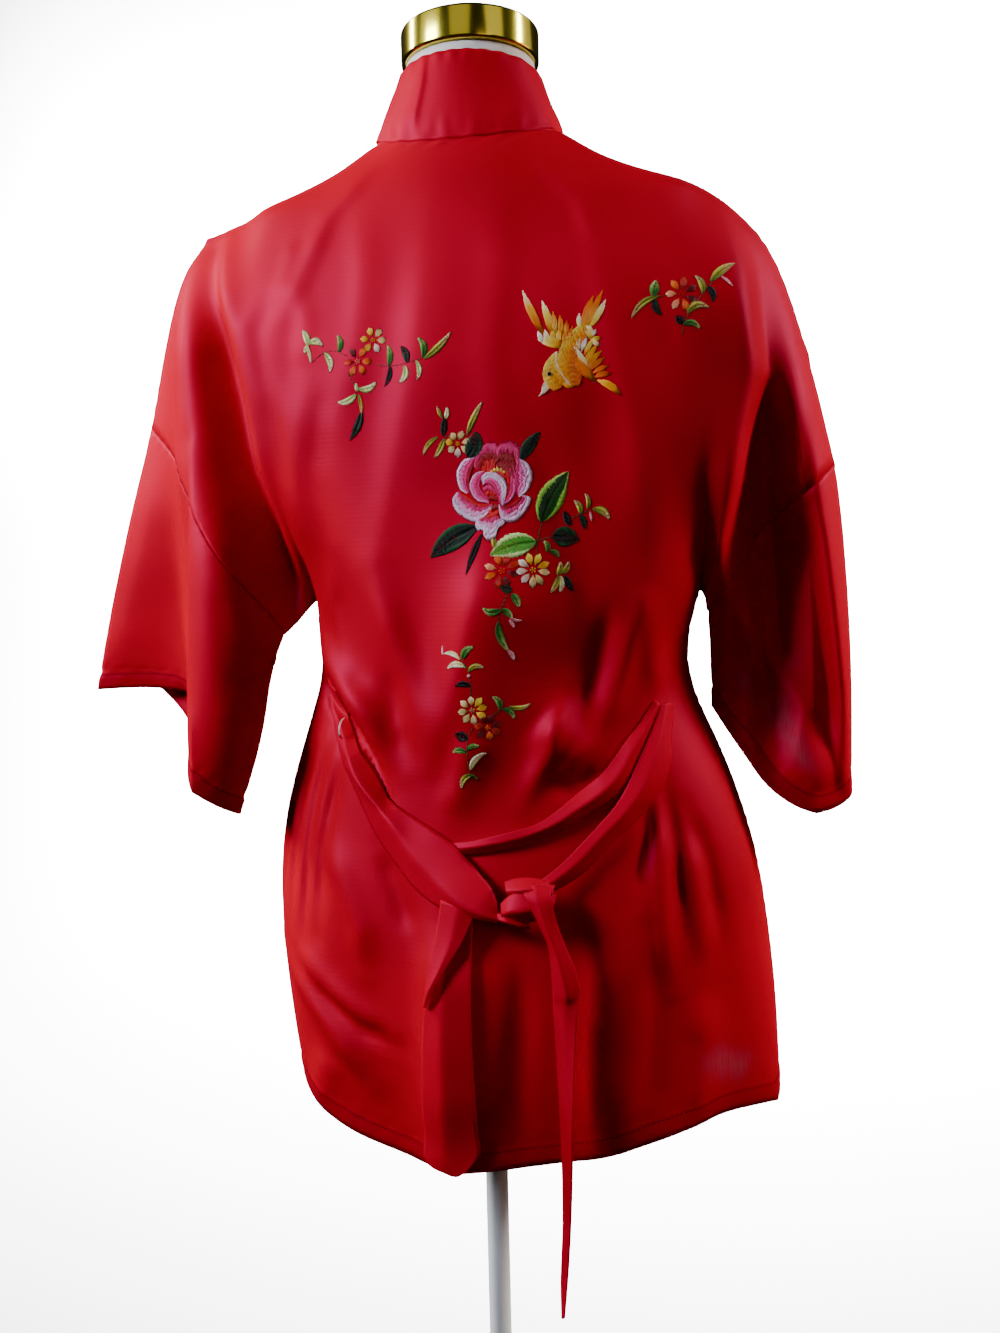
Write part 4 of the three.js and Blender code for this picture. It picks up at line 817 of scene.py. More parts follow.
FLOSS_PITCH = 0.85  # mm between stitches, drawn twice as coarse as real floss so that they show
FLOSS_WIDTH = 1.05  # mm, so that neighbours close over the cloth
OUTLINE_WIDTH = 0.6  # mm, one thin strand
STEM_WIDTH = 0.8  # mm, the stem stitch of a stalk or a leaf's rib
STEM_PITCH = 1.6  # mm, half the length of one such stitch
FLOSS_PROFILE = ((-0.5, -0.15), (-0.3, 0.32), (0.3, 0.32), (0.5, -0.15))  # across, up, in widths
FLOSS_STRANDS = 0.35  # mm between the filaments that break up its gloss
STITCH_END = 0.55  # of its width, where a stitch dips into the cloth
CLEAR_BEHIND = 400  # mm, a place behind the robe from which its back is looked for
STALK_THREAD = ("#38431c", "#38431c")
LEAF_OUTLINE = ("#5a4a2c", "#5a4a2c")
PETAL_OUTLINE = ("#6a3416", "#6a3416")
PEONY_OUTLINE = ("#7a0c22", "#7a0c22")
draw = random.Random(7)

back_skin = bmesh.new()
back_skin.from_mesh(skins["back"].data)
back_tree = BVHTree.FromBMesh(back_skin)
back_skin.free()

# Silk floss: bright and smooth along the strand, its gloss broken where one stitch meets the next
floss, tree, shader = new_material("hand_stitched_silk_floss")
dye = add_node(tree, "ShaderNodeAttribute", attribute_name="dye")
place = add_node(tree, "ShaderNodeTexCoord").outputs["Object"]
strands = add_node(tree, "ShaderNodeTexNoise", {"Vector": place, "Scale": 1 / (FLOSS_STRANDS * MM)})
bump = add_node(tree, "ShaderNodeBump", {"Strength": 0.25, "Distance": 0.06 * MM,
                                         "Height": strands.outputs["Fac"]})
tree.links.new(dye.outputs["Color"], shader.inputs["Base Color"])
tree.links.new(bump.outputs["Normal"], shader.inputs["Normal"])
shader.inputs["Roughness"].default_value = 0.5
shader.inputs["IOR"].default_value = 1.45
shader.inputs["Specular IOR Level"].default_value = 0.25


def spline(points, steps):
    """Points of a smooth curve through an array of points, with so many steps between two."""
    points = np.array(points, float)
    padded = np.concatenate([[2 * points[0] - points[1]], points, [2 * points[-1] - points[-2]]])
    out = []
    for k in range(len(points) - 1):
        p0, p1, p2, p3 = padded[k:k + 4]
        for step in range(steps):
            t = step / steps
            out.append(0.5 * (2 * p1 + (p2 - p0) * t + (2 * p0 - 5 * p1 + 4 * p2 - p3) * t ** 2
                              + (3 * p1 - p0 - 3 * p2 + p3) * t ** 3))
    out.append(points[-1])
    return np.array(out)


def even_curve(points, pitch):
    """Points at an even pitch in mm along the smooth curve through a few points."""
    curve = spline(points, 8)
    run = along_line(curve)
    count = max(3, round(run[-1] / pitch) + 1)
    at = np.linspace(0, run[-1], count)
    return np.stack([np.interp(at, run, curve[:, 0]), np.interp(at, run, curve[:, 1])], axis=1)


def dyed(threads, t):
    """The linear colour at t, from 0 to 1, through a row of sRGB hex thread colours."""
    rows = np.array([linear(hex_code)[:3] for hex_code in threads])
    at = np.linspace(0, 1, len(rows))
    return np.array([np.interp(t, at, rows[:, k]) for k in range(3)])


def straight(start, end, threads, t0, t1, lift, width=FLOSS_WIDTH):
    """One stitch from start to end, shaded from t0 to t1 along its threads."""
    start, end = np.array(start), np.array(end)
    steps = 3 if np.hypot(*(end - start)) < 4 else 4
    at = np.linspace(0, 1, steps)
    points = [start + (end - start) * a for a in at]
    return points, [dyed(threads, t0 + (t1 - t0) * a) for a in at], width, lift


def outline(points, threads, lift, width=OUTLINE_WIDTH):
    """Stem stitches along a row of points, each over three of them."""
    return [(points[k:k + 3], [dyed(threads, 0.5)] * len(points[k:k + 3]), width, lift)
            for k in range(0, len(points) - 1, 2)]


def bowed(base, tip, bow, steps):
    """A line from base to tip that bows bow mm to its left: its t, points and left directions."""
    base, tip = np.array(base, float), np.array(tip, float)
    run = tip - base
    left = np.array([run[1], -run[0]]) / np.hypot(*run)
    t = np.linspace(0, 1, steps)
    points = base + t[:, None] * run + (4 * bow * t * (1 - t))[:, None] * left
    heading = run + (4 * bow * (1 - 2 * t))[:, None] * left
    heading /= np.hypot(heading[:, 0], heading[:, 1])[:, None]
    return t, points, np.stack([heading[:, 1], -heading[:, 0]], axis=1)


# Thread colours of a leaf, from its base to its tip: its left half, its right half, its rim
LEAVES = {
    "pale": (("#a4bc5c", "#f0f0a8", "#fce8bc"), ("#7c9c40", "#c8d878", "#f8e0ac"), None),
    "cream": (("#e4d084", "#fffad0", "#fce0b8"), ("#b4a44c", "#f4e8a0", "#f8d0a8"), None),
    "green": (("#1c5418", "#54982c", "#dce48c"), ("#103c14", "#2c741c", "#a8c858"), None),
    "olive": (("#6c7418", "#d8c840", "#fcd890"), ("#4c6014", "#9c9824", "#f0ac80"), None),
    "dark": (("#0a2012", "#123a1c", "#0c2414"), ("#040a06", "#0a1c10", "#081810"), None),
    "black": (("#040806", "#0a1812", "#060e0a"), ("#030605", "#070f0b", "#050a08"), None),
    "deep": (("#06150c", "#0c2814", "#06150c"), ("#040d08", "#081c0e", "#050f0a"),
             ("#103018", "#1c4a24", "#143c1c")),
    "fringed": (("#123c10", "#0e3410", "#1c5018"), ("#0c300e", "#164814", "#1c5018"),
                ("#6ea828", "#93cc3c", "#c4d860")),
    "lime": (("#4c9a2c", "#5fb030", "#7cc43c"), ("#3c8a28", "#4fa02c", "#6cb838"),
             ("#a8d468", "#d8f090", "#f4eca0")),
    "pink": (("#e88890", "#f8b4b8", "#fcd0cc"), ("#e07480", "#f4a0a8", "#f8c0bc"), None),
}


def leaf(base, tip, half, bow, kind):
    """Satin stitches that slant from a leaf's rib to its two edges, half mm wide on each side."""
    left, right, rim = LEAVES[kind]
    length = math.dist(base, tip)
    t, line, across = bowed(base, tip, bow, max(5, round(length / FLOSS_PITCH)))
    width = half * np.sin(np.pi * t ** 0.85) ** 0.8
    work = []
    edges = {}
    for side, threads in ((1, left), (-1, right)):
        edges[side] = line + side * across * width[:, None]
        for k in range(1, len(t) - 1):
            start = line[max(0, k - round(0.8 * width[k] / FLOSS_PITCH))]
            end = edges[side][k]
            if rim:
                work.append(straight(start, end, threads, t[k], t[k], 0.2))
                turn = start + (end - start) * (0.55 + draw.uniform(-0.12, 0.12))
                end = end + (end - start) * draw.uniform(-0.03, 0.06)
                work.append(straight(turn - (turn - start) * 0.1, end, rim, t[k], t[k], 0.3))
                work.append(straight(start, turn, threads, t[k], t[k], 0.34))
            else:
                work.append(straight(start, end, threads, t[k], t[k], 0.3))
    if half > 1.5 and kind not in ("dark", "black", "deep", "fringed"):
        work += outline(edges[1], LEAF_OUTLINE, 0.05) + outline(edges[-1], LEAF_OUTLINE, 0.05)
    # The rib covers the ends of the stitches
    work += outline(line[1:-1], (left[0], left[0]), 0.42, STEM_WIDTH)
    return work


def blade(base, tip, half, bow, threads, lift, blunt=1.0):
    """Stitches side by side along a slim petal or feather, half mm wide on each side."""
    count = max(2, round(2 * half / FLOSS_PITCH))
    work = []
    for row in range(count):
        offset = 2 * row / (count - 1) - 1
        trim = 0.16 * offset ** 2
        t, line, across = bowed(base, tip, bow, 6)
        belly = np.sin(np.pi * np.clip(t, 0.04, 0.96) ** blunt) ** 0.6
        points = line + across * (offset * (half - 0.3) * belly)[:, None]
        at = np.linspace(trim, 1 - trim, 4 if half > 0.9 else 3)
        points = np.stack([np.interp(at, t, points[:, 0]), np.interp(at, t, points[:, 1])], axis=1)
        work.append((points, [dyed(threads, a) for a in at], FLOSS_WIDTH, lift))
    return work


def knots(centre, radius, count, threads, size=1.3, lift=0.35):
    """French knots in a ring round a middle one, as short fat stitches."""
    work = []
    for k in range(count):
        turn = 2 * math.pi * k / max(1, count - 1)
        out = 0 if k == count - 1 else radius
        x, z = centre[0] + out * math.cos(turn), centre[1] + out * math.sin(turn)
        work.append(straight((x - 0.45, z), (x + 0.45, z), threads, 0.3, 0.7, lift, size))
    return work


# Thread colours of a daisy petal from its root to its end, by letter
PETALS = {
    "y": ("#f0a810", "#ffe040"), "g": ("#d08408", "#f8b820"), "c": ("#dca050", "#f6dca0"),
    "w": ("#e0a888", "#f8dccc"), "s": ("#c4984c", "#e4cc80"), "o": ("#d83c04", "#ff7a18"),
    "p": ("#ec6c34", "#ffb080"), "r": ("#9c0804", "#e42c0c"), "m": ("#500406", "#80080c"),
}


def daisy(centre, radius, turn, letters, middle):
    """A flower of oval petals, one for each letter, edged in brown round a knotted middle."""
    work = []
    for k, letter in enumerate(letters):
        angle = math.radians(turn + 360 * k / len(letters) + draw.uniform(-5, 5))
        way = np.array([math.cos(angle), math.sin(angle)])
        reach = radius * draw.uniform(0.9, 1.04)
        half = min(2.3, radius * math.pi / len(letters) * 0.62)
        root, end = np.array(centre) + way * radius * 0.28, np.array(centre) + way * reach
        work += blade(root, end, half, 0, PETALS[letter], 0.16, 1.5)
        t, line, across = bowed(root, end, 0, 9)
        belly = (half + 0.15) * np.sin(np.pi * np.clip(t, 0.03, 0.985) ** 1.5) ** 0.6
        if letter != "m":
            for side in (1, -1):
                work += outline(line + side * across * belly[:, None], PETAL_OUTLINE, 0.02)
    return work + knots(centre, radius * 0.13, 6, PETALS[middle])


def stalk(points):
    """Stem stitch along a smooth curve through a few points."""
    return outline(even_curve(points, STEM_PITCH), STALK_THREAD, 0.1, STEM_WIDTH)


def petal(root, rim, threads, lift):
    """Long and short stitches from a petal's root to its rim, one band for each thread colour."""
    outer = even_curve(rim, FLOSS_PITCH * 0.95)
    inner = spline(root, 8)
    run = np.linspace(0, 1, len(inner))
    at = np.linspace(0, 1, len(outer))
    inner = np.stack([np.interp(at, run, inner[:, 0]), np.interp(at, run, inner[:, 1])], axis=1)
    work = []
    bands = len(threads)
    for a, b in zip(inner, outer):
        cuts = [0.0] + [(k + 1) / bands + draw.uniform(-0.09, 0.09) for k in range(bands - 1)]
        cuts.append(1 + draw.uniform(-0.03, 0.02))
        for k, hex_code in enumerate(threads):
            start, end = a + (b - a) * max(0, cuts[k] - 0.05), a + (b - a) * cuts[k + 1]
            work.append(straight(start, end, (hex_code, hex_code), 0, 1, lift + 0.02 * k))
    return work + outline(outer + (outer - inner) * 0.02, PEONY_OUTLINE, lift - 0.04)


def sew(name, work):
    """Lays stitches on the back as half round strands of floss that dip at their ends."""
    corners, faces, colours = [], [], []
    for points, dyes, width, lift in work:
        shade = draw.uniform(0.9, 1.1)
        ground = []
        for x, z in points:
            start = Vector((x, CLEAR_BEHIND, z)) * MM
            ground.append(back_tree.ray_cast(start, Vector((0, -1, 0)))[:2])
        last = len(ground) - 1
        first_corner = len(corners)
        for k, (place, normal) in enumerate(ground):
            heading = (ground[min(k + 1, last)][0] - ground[max(k - 1, 0)][0]).normalized()
            sideways = normal.cross(heading)
            slim, height = (STITCH_END, 0.0) if k in (0, last) else (1.0, lift)
            for across, up in FLOSS_PROFILE:
                corners.append(place + sideways * (across * width * slim * MM)
                               + normal * ((height + up * width * slim) * MM))
                colours.append([*(dyes[k] * shade), 1.0])
        for k in range(last):
            ring = first_corner + 4 * k
            for c in range(4):
                d = (c + 1) % 4
                faces.append((ring + c, ring + d, ring + 4 + d, ring + 4 + c))
        end = first_corner + 4 * last
        faces.append(tuple(first_corner + c for c in (3, 2, 1, 0)))
        faces.append(tuple(end + c for c in (0, 1, 2, 3)))
    mesh = bpy.data.meshes.new(name)
    mesh.from_pydata(corners, [], faces)
    dye_layer = mesh.color_attributes.new("dye", "FLOAT_COLOR", "POINT")
    dye_layer.data.foreach_set("color", np.clip(colours, 0, 1).astype(np.float32).ravel())
    bm = bmesh.new()
    bm.from_mesh(mesh)
    bmesh.ops.recalc_face_normals(bm, faces=bm.faces)
    bpy.data.meshes.remove(mesh)
    piece = new_piece(name, bm, floss)
    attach(piece, "root")


# Leaves: base x, z, tip x, z, half width, bow, all mm, and kind. Stalks: points. Flowers: centre,
# radius, turn in degrees, petal colours, middle
LEFT_SPRIG = (
    (110, 1247, 115, 1259, 2.6, -1.0, "pale"), (110, 1248, 98, 1245, 2.8, 2.8, "pale"),
    (110, 1247, 114, 1241, 1.8, 0, "pale"), (111, 1247, 108, 1233, 1.5, 0.4, "pale"),
    (97, 1240, 93, 1225, 2.7, 2.8, "pale"), (85, 1240, 87, 1253, 2.5, -2.2, "green"),
    (46, 1227, 47, 1243, 2.5, -1.8, "green"), (45, 1227, 50, 1212, 2.3, 2.0, "black"),
    (31, 1228, 37, 1241, 3.0, -2.0, "dark"), (33, 1226, 38, 1214, 2.6, 3.2, "pale"),
    (19, 1231, 23, 1246, 2.6, -3.0, "green"), (24, 1229, 24, 1215, 2.0, 2.6, "pale"),
    (18, 1230, -2, 1249, 2.7, -1.6, "olive"), (70, 1212, 56, 1217, 2.7, -3.2, "pale"),
    (71, 1210, 72, 1217, 1.4, 0, "pale"), (72, 1208, 87, 1203, 2.6, 2.6, "pale"),
    (70, 1208, 68, 1192, 1.5, 0.6, "olive"), (68, 1195, 78, 1174, 3.2, 1.6, "dark"),
)
LEFT_STALKS = (
    ((108, 1234), (98, 1240), (88, 1241), (78, 1236)),
    ((57, 1229), (45, 1227), (32, 1228), (18, 1231)), ((78, 1224), (74, 1217), (71, 1209)),
)
LEFT_FLOWERS = (
    ((58, 1247), 10.5, 10, "gysswg", "g"), ((70, 1232), 11.5, -60, "ormooo", "p"),
)
RIGHT_SPRIG = (
    (-148, 1270, -150, 1282, 3.4, 0.4, "green"), (-152, 1270, -132, 1254, 2.3, -3.4, "olive"),
    (-149, 1268, -154, 1256, 2.8, -2.0, "dark"), (-183, 1272, -177, 1285, 2.5, -2.6, "olive"),
    (-189, 1281, -207, 1296, 3.2, 1.6, "olive"), (-196, 1285, -205, 1277, 0.9, 0.8, "pink"),
    (-187, 1277, -190, 1265, 2.5, 2.0, "black"), (-172, 1257, -188, 1261, 2.7, 4.4, "olive"),
    (-169, 1249, -181, 1246, 2.3, 3.0, "green"), (-169, 1250, -163, 1256, 3.0, 0, "black"),
)
RIGHT_STALKS = (
    ((-194, 1285), (-184, 1273), (-176, 1262), (-170, 1251), (-168, 1242)),
    ((-147, 1269), (-154, 1270), (-161, 1271)),
)
RIGHT_FLOWERS = (((-168, 1271), 12.5, 50, "ormmopp", "r"),)
MIDDLE_LEAVES = (
    (5, 1174, 3, 1189, 2.7, 0, "black"), (3, 1186, 2, 1195, 1.9, -1.0, "cream"),
    (5, 1187, 9, 1196, 1.5, 0.4, "olive"), (-13, 1174, -25, 1198, 2.4, 1.0, "olive"),
    (9, 1173, 20, 1160, 1.7, -2.2, "olive"), (4, 1172, 12, 1158, 2.2, 1.0, "olive"),
    (-13, 1158, -19, 1177, 6.8, -2.2, "deep"), (-52, 1155, -66, 1175, 4.4, 1.2, "deep"),
    (-66, 1110, -86, 1146, 9.0, 2.0, "fringed"), (-62, 1095, -29, 1086, 8.6, -2.4, "lime"),
    (-19, 1107, 17, 1085, 8.4, -2.6, "deep"), (-23, 1102, -11, 1072, 2.5, -0.6, "black"),
    (-33, 1091, -31, 1102, 2.0, 0, "olive"), (-74, 1099, -93, 1096, 7.4, 1.0, "deep"),
    (-86, 1107, -82, 1118, 2.7, 0, "black"), (-94, 1115, -89, 1125, 2.3, -2.0, "olive"),
    (-94, 1114, -97, 1103, 2.5, 1.0, "dark"), (-99, 1119, -97, 1130, 1.9, -2.0, "olive"),
    (-103, 1118, -115, 1110, 3.0, 2.8, "olive"), (-101, 1117, -102, 1109, 0.9, 0, "pink"),
    (-70, 1088, -67, 1096, 1.9, -2.0, "green"), (-72, 1088, -78, 1083, 1.9, 2.0, "green"),
    (-77, 1071, -79, 1081, 2.1, -1.2, "olive"), (-80, 1072, -85, 1081, 2.1, -1.4, "olive"),
    (-78, 1070, -72, 1058, 1.9, 1.0, "olive"), (-79, 1070, -78, 1058, 2.1, 1.6, "cream"),
    (-82, 1070, -88, 1058, 2.5, 0, "black"),
)
MIDDLE_STALKS = (
    ((-67, 1112), (-64, 1099), (-62, 1086)), ((-62, 1096), (-70, 1098), (-77, 1099)),
    ((-82, 1109), (-92, 1114), (-104, 1119)), ((4, 1174), (-4, 1172), (-13, 1174)),
)
MIDDLE_FLOWERS = (
    ((-6, 1168), 10.0, 10, "gssccwc", "g"), ((-38, 1075), 13.5, -25, "oporrmmr", "o"),
    ((-60, 1075), 13.0, 75, "yygcscwww", "y"),
)
LOWER_LEAVES = (
    (-45, 1061, -37, 1065, 3.2, 1.0, "dark"), (-45, 1058, -50, 1048, 2.7, 1.0, "green"),
    (-37, 1047, -24, 1049, 2.7, 3.0, "green"), (-38, 1047, -45, 1040, 2.5, 1.0, "green"),
    (-44, 1041, -52, 1039, 1.0, -1.2, "pink"), (-43, 1039, -46, 1033, 1.2, 0.6, "pink"),
    (-35, 1038, -42, 1016, 2.7, -2.4, "green"), (-41, 1017, -45, 1009, 1.7, 1.0, "pink"),
    (-6, 1011, 8, 1014, 1.9, -2.6, "cream"), (8, 1013, 8, 1021, 0.9, 0.6, "pink"),
    (-8, 1011, -17, 1020, 2.9, 2.4, "green"), (-10, 1005, 5, 1003, 2.4, -3.2, "cream"),
    (-12, 1002, -24, 1004, 2.1, 2.8, "olive"), (-13, 1000, -11, 997, 1.2, 0, "pink"),
    (-13, 991, -1, 990, 2.5, -2.2, "black"), (-34, 973, -28, 983, 2.3, -2.4, "green"),
    (-36, 973, -44, 965, 2.1, 2.6, "green"), (-41, 975, -56, 977, 1.9, -2.4, "olive"),
    (-10, 952, 0, 956, 3.8, 0, "black"), (-9, 942, 2, 941, 2.3, -2.0, "green"),
    (-10, 944, -19, 946, 1.9, 1.6, "green"), (-12, 929, -24, 941, 2.4, 2.8, "cream"),
    (-13, 925, -5, 914, 2.5, -3.0, "olive"), (-12, 925, -17, 921, 1.4, 0, "green"),
)
LOWER_STALKS = (
    ((-45, 1063), (-40, 1054), (-36, 1045), (-35, 1036)),
    ((-7, 1011), (-12, 1003), (-13, 993), (-13, 982)),
    ((-27, 967), (-35, 973), (-46, 975)), ((-14, 960), (-10, 951), (-10, 937), (-12, 923)),
)
LOWER_FLOWERS = (
    ((-14, 973), 11.5, 80, "cygycssc", "s"), ((-25, 960), 10.5, -95, "omrmmmr", "o"),
)
for name, leaves, stalks, flowers in (
        ("left_sprig", LEFT_SPRIG, LEFT_STALKS, LEFT_FLOWERS),
        ("right_sprig", RIGHT_SPRIG, RIGHT_STALKS, RIGHT_FLOWERS),
        ("middle_leaves", MIDDLE_LEAVES, MIDDLE_STALKS, MIDDLE_FLOWERS),
        ("lower_sprigs", LOWER_LEAVES, LOWER_STALKS, LOWER_FLOWERS)):
    work = []
    for points in stalks:
        work += stalk(points)
    for x0, z0, x1, z1, half, bow, kind in leaves:
        work += leaf((x0, z0), (x1, z1), half, bow, kind)
    for centre, radius, turn, letters, middle in flowers:
        work += daisy(centre, radius, turn, letters, middle)
    sew("embroidered_" + name, work)

# The peony's petals from the back to the front: root line, rim line, threads from root to rim
CRIMSON, RED, ROSE, PINK = "#9c0010", "#d80410", "#e02468", "#f45c9c"
BLUSH, WHITE = "#f79cc6", "#f8cfe6"
PEONY = (
    (((-27, 1143), (-31, 1145)), ((-17, 1152), (-19, 1160), (-25, 1166), (-32, 1168), (-37, 1163)),
     (RED, RED, CRIMSON, ROSE)),
    (((-35, 1143), (-42, 1141)),
     ((-35, 1163), (-38, 1167), (-44, 1168), (-50, 1165), (-52, 1158), (-50, 1150)),
     (RED, CRIMSON, CRIMSON, ROSE)),
    (((-19, 1157), (-17, 1149), (-15, 1141), (-15, 1133)),
     ((-18, 1158), (-10, 1156), (-5, 1149), (-5, 1141), (-7, 1135), (-11, 1132)),
     (CRIMSON, ROSE, PINK, WHITE)),
    (((-50, 1153), (-48, 1146), (-48, 1138), (-49, 1131)),
     ((-51, 1156), (-57, 1152), (-60, 1145), (-59, 1138), (-56, 1132), (-51, 1128)),
     (ROSE, PINK, BLUSH, WHITE)),
    (((-41, 1147), (-42, 1137), (-41, 1127)), ((-47, 1151), (-50, 1142), (-49, 1133), (-44, 1125)),
     (RED, ROSE, ROSE)),
    (((-42, 1137), (-41, 1131), (-39, 1127)),
     ((-48, 1142), (-48, 1131), (-44, 1125), (-39, 1122)), (CRIMSON, ROSE, PINK)),
    (((-24, 1145), (-22, 1139), (-23, 1134), (-28, 1128)),
     ((-25, 1148), (-18, 1146), (-14, 1139), (-15, 1132), (-20, 1126), (-28, 1124)),
     (ROSE, ROSE, PINK, BLUSH)),
    (((-29, 1126), (-35, 1125)), ((-24, 1136), (-29, 1138), (-35, 1132)), (CRIMSON, RED, ROSE)),
    (((-31, 1124), (-35, 1124)), ((-27, 1116), (-31, 1113), (-36, 1115)), (CRIMSON, RED)),
    (((-7, 1133), (-15, 1129), (-22, 1124), (-30, 1124)),
     ((-4, 1132), (-1, 1127), (-3, 1120), (-10, 1114), (-18, 1111), (-25, 1114), (-30, 1119),
      (-31, 1123)),
     (RED, ROSE, BLUSH, WHITE)),
    (((-36, 1124), (-42, 1122), (-48, 1125), (-52, 1128)),
     ((-36, 1122), (-37, 1114), (-43, 1110), (-50, 1112), (-56, 1119), (-59, 1127), (-53, 1129)),
     (CRIMSON, ROSE, BLUSH, WHITE)),
    (((-24, 1113), (-28, 1116), (-33, 1117), (-36, 1113)),
     ((-18, 1111), (-19, 1105), (-24, 1104), (-25, 1099), (-28, 1097), (-33, 1099), (-35, 1105),
      (-40, 1109), (-38, 1113)),
     (RED, ROSE, BLUSH, WHITE, WHITE)),
    (((-26, 1138), (-29, 1138), (-32, 1136), (-34, 1131), (-36, 1124)),
     ((-24, 1138), (-23, 1143), (-27, 1147), (-34, 1146), (-40, 1141), (-42, 1133), (-39, 1122)),
     (ROSE, PINK, WHITE, WHITE)),
)
work = []
for k, (root, rim, threads) in enumerate(PEONY):
    work += petal(root, rim, threads, 0.12 + 0.04 * k)
for x, z in ((-29, 1149), (-32, 1151), (-35, 1152), (-38, 1151), (-41, 1148)):
    work += blade((x * 0.5 - 17.5, 1145), (x, z), 0.8, 0, ("#f0b020", "#fce880"), 0.6)
sew("embroidered_peony", work)

# The bird flies down to the left with its wings and tail spread. Feathers: base x, z, tip x, z,
# half width, bow, threads from base to tip
AMBER, GOLD, STRAW, SHELL, FLAME = "#f07404", "#fcac08", "#ffdc58", "#ffe4c4", "#e85004"
FEATHERS = (
    (-97, 1245, -105, 1271, 2.8, 0.8, (GOLD, AMBER, AMBER)),
    (-99, 1245, -112, 1275, 2.2, 0.6, (GOLD, FLAME)),
    (-101, 1247, -114, 1268, 2.3, -0.8, (GOLD, STRAW, SHELL)),
    (-96, 1247, -95, 1259, 1.7, 0.8, (STRAW, SHELL)),
    (-99, 1251, -104, 1239, 2.9, 0.6, (SHELL, STRAW, GOLD)),
    (-104, 1243, -107, 1247, 1.1, 0, (SHELL, SHELL)),
    (-105, 1240, -111, 1241, 1.1, 0, (STRAW, GOLD)),
    (-105, 1238, -110, 1235, 1.1, 0, (STRAW, SHELL)),
    (-71, 1242, -54, 1277, 2.7, 1.2, (FLAME, AMBER, GOLD, SHELL)),
    (-75, 1243, -68, 1269, 2.4, -0.8, (AMBER, GOLD, STRAW, SHELL)),
    (-78, 1243, -76, 1261, 1.9, 0, (STRAW, AMBER)),
    (-82, 1243, -81, 1258, 1.8, 0, (GOLD, AMBER)),
    (-85, 1242, -86, 1254, 1.7, 0, (GOLD, FLAME)),
    (-88, 1241, -90, 1250, 1.5, 0, (AMBER, FLAME)),
    (-68, 1240, -65, 1247, 1.3, 0, (SHELL, SHELL)),
    (-72, 1240, -70, 1248, 1.4, 0, (STRAW, SHELL)),
    (-76, 1240, -75, 1248, 1.4, 0, (STRAW, GOLD)),
    (-80, 1240, -80, 1248, 1.4, 0, (STRAW, GOLD)),
    (-84, 1239, -85, 1247, 1.4, 0, (GOLD, AMBER)),
    (-85, 1234, -65, 1241, 3.7, -1.2, (AMBER, GOLD, STRAW, SHELL)),
    (-89, 1231, -107, 1209, 3.4, -1.0, (GOLD, AMBER, AMBER, GOLD)),
    (-91, 1234, -105, 1214, 1.2, 0.6, (SHELL, STRAW)),
    (-93, 1233, -96, 1243, 1.4, 0, (STRAW, SHELL)),
    (-96, 1231, -100, 1243, 1.6, 0, (SHELL, SHELL)),
    (-98, 1229, -105, 1241, 1.6, 0, (GOLD, STRAW)),
    (-100, 1226, -108, 1237, 1.5, 0, (GOLD, GOLD)),
    (-101, 1223, -111, 1232, 1.5, 0, (AMBER, GOLD)),
    (-103, 1220, -113, 1227, 1.5, 0, (AMBER, AMBER)),
    (-104, 1216, -116, 1221, 1.6, 0.5, (AMBER, FLAME)),
    (-105, 1213, -118, 1215, 1.8, 1.0, (AMBER, FLAME)),
    (-107, 1211, -125, 1199, 2.5, 1.6, (GOLD, GOLD, FLAME)),
)
# Rows of short stitches over the body and the head: x, z and half width along each
BODY = ((-99, 1250, 3.0), (-94, 1243, 5.6), (-88, 1235, 6.0), (-86, 1227, 7.0), (-87, 1219, 8.2),
        (-89, 1211, 7.6), (-90, 1206, 4.0))
HEAD = ((-81, 1230, 4.0), (-79, 1223, 8.0), (-77, 1216, 8.8), (-76, 1209, 6.6), (-74, 1205, 2.6))
BARB_LENGTH = (4.8, 6.2)  # mm, the shortest and the longest of those stitches
BARB_STEP = 3.6  # mm from the start of one to the start of the next in its row
COLLAR_STITCHES = 26


def plumage(rows, threads, lift):
    """Short overlapping stitches along a rounded shape, their colours changing across and along."""
    curve = spline(rows, 6)
    run = along_line(curve[:, :2])
    widest = curve[:, 2].max()
    count = round(2 * widest / FLOSS_PITCH)
    work = []
    for row in range(count):
        offset = 2 * row / (count - 1) - 1
        at = -draw.uniform(0, 3)
        while at < run[-1]:
            ends = np.clip([at, at + draw.uniform(*BARB_LENGTH)], 0, run[-1])
            at += BARB_STEP
            if ends[1] - ends[0] < 1.0:
                continue
            places = []
            for end in np.linspace(ends[0], ends[1], 3):
                x, z, half = (np.interp(end, run, curve[:, k]) for k in range(3))
                ahead = [np.interp(min(end + 1, run[-1]), run, curve[:, k]) for k in (0, 1)]
                behind = [np.interp(max(end - 1, 0), run, curve[:, k]) for k in (0, 1)]
                way = np.array(ahead) - np.array(behind)
                way /= np.hypot(*way)
                across = np.array([way[1], -way[0]])
                places.append(np.array([x, z]) + across * offset * (half - 0.4))
            tone = 0.5 + 0.34 * offset + 0.34 * (ends[0] / run[-1] - 0.5)
            tone += draw.uniform(-0.07, 0.07)
            work.append((places, [dyed(threads, np.clip(tone, 0, 1))] * 3, FLOSS_WIDTH, lift))
    return work


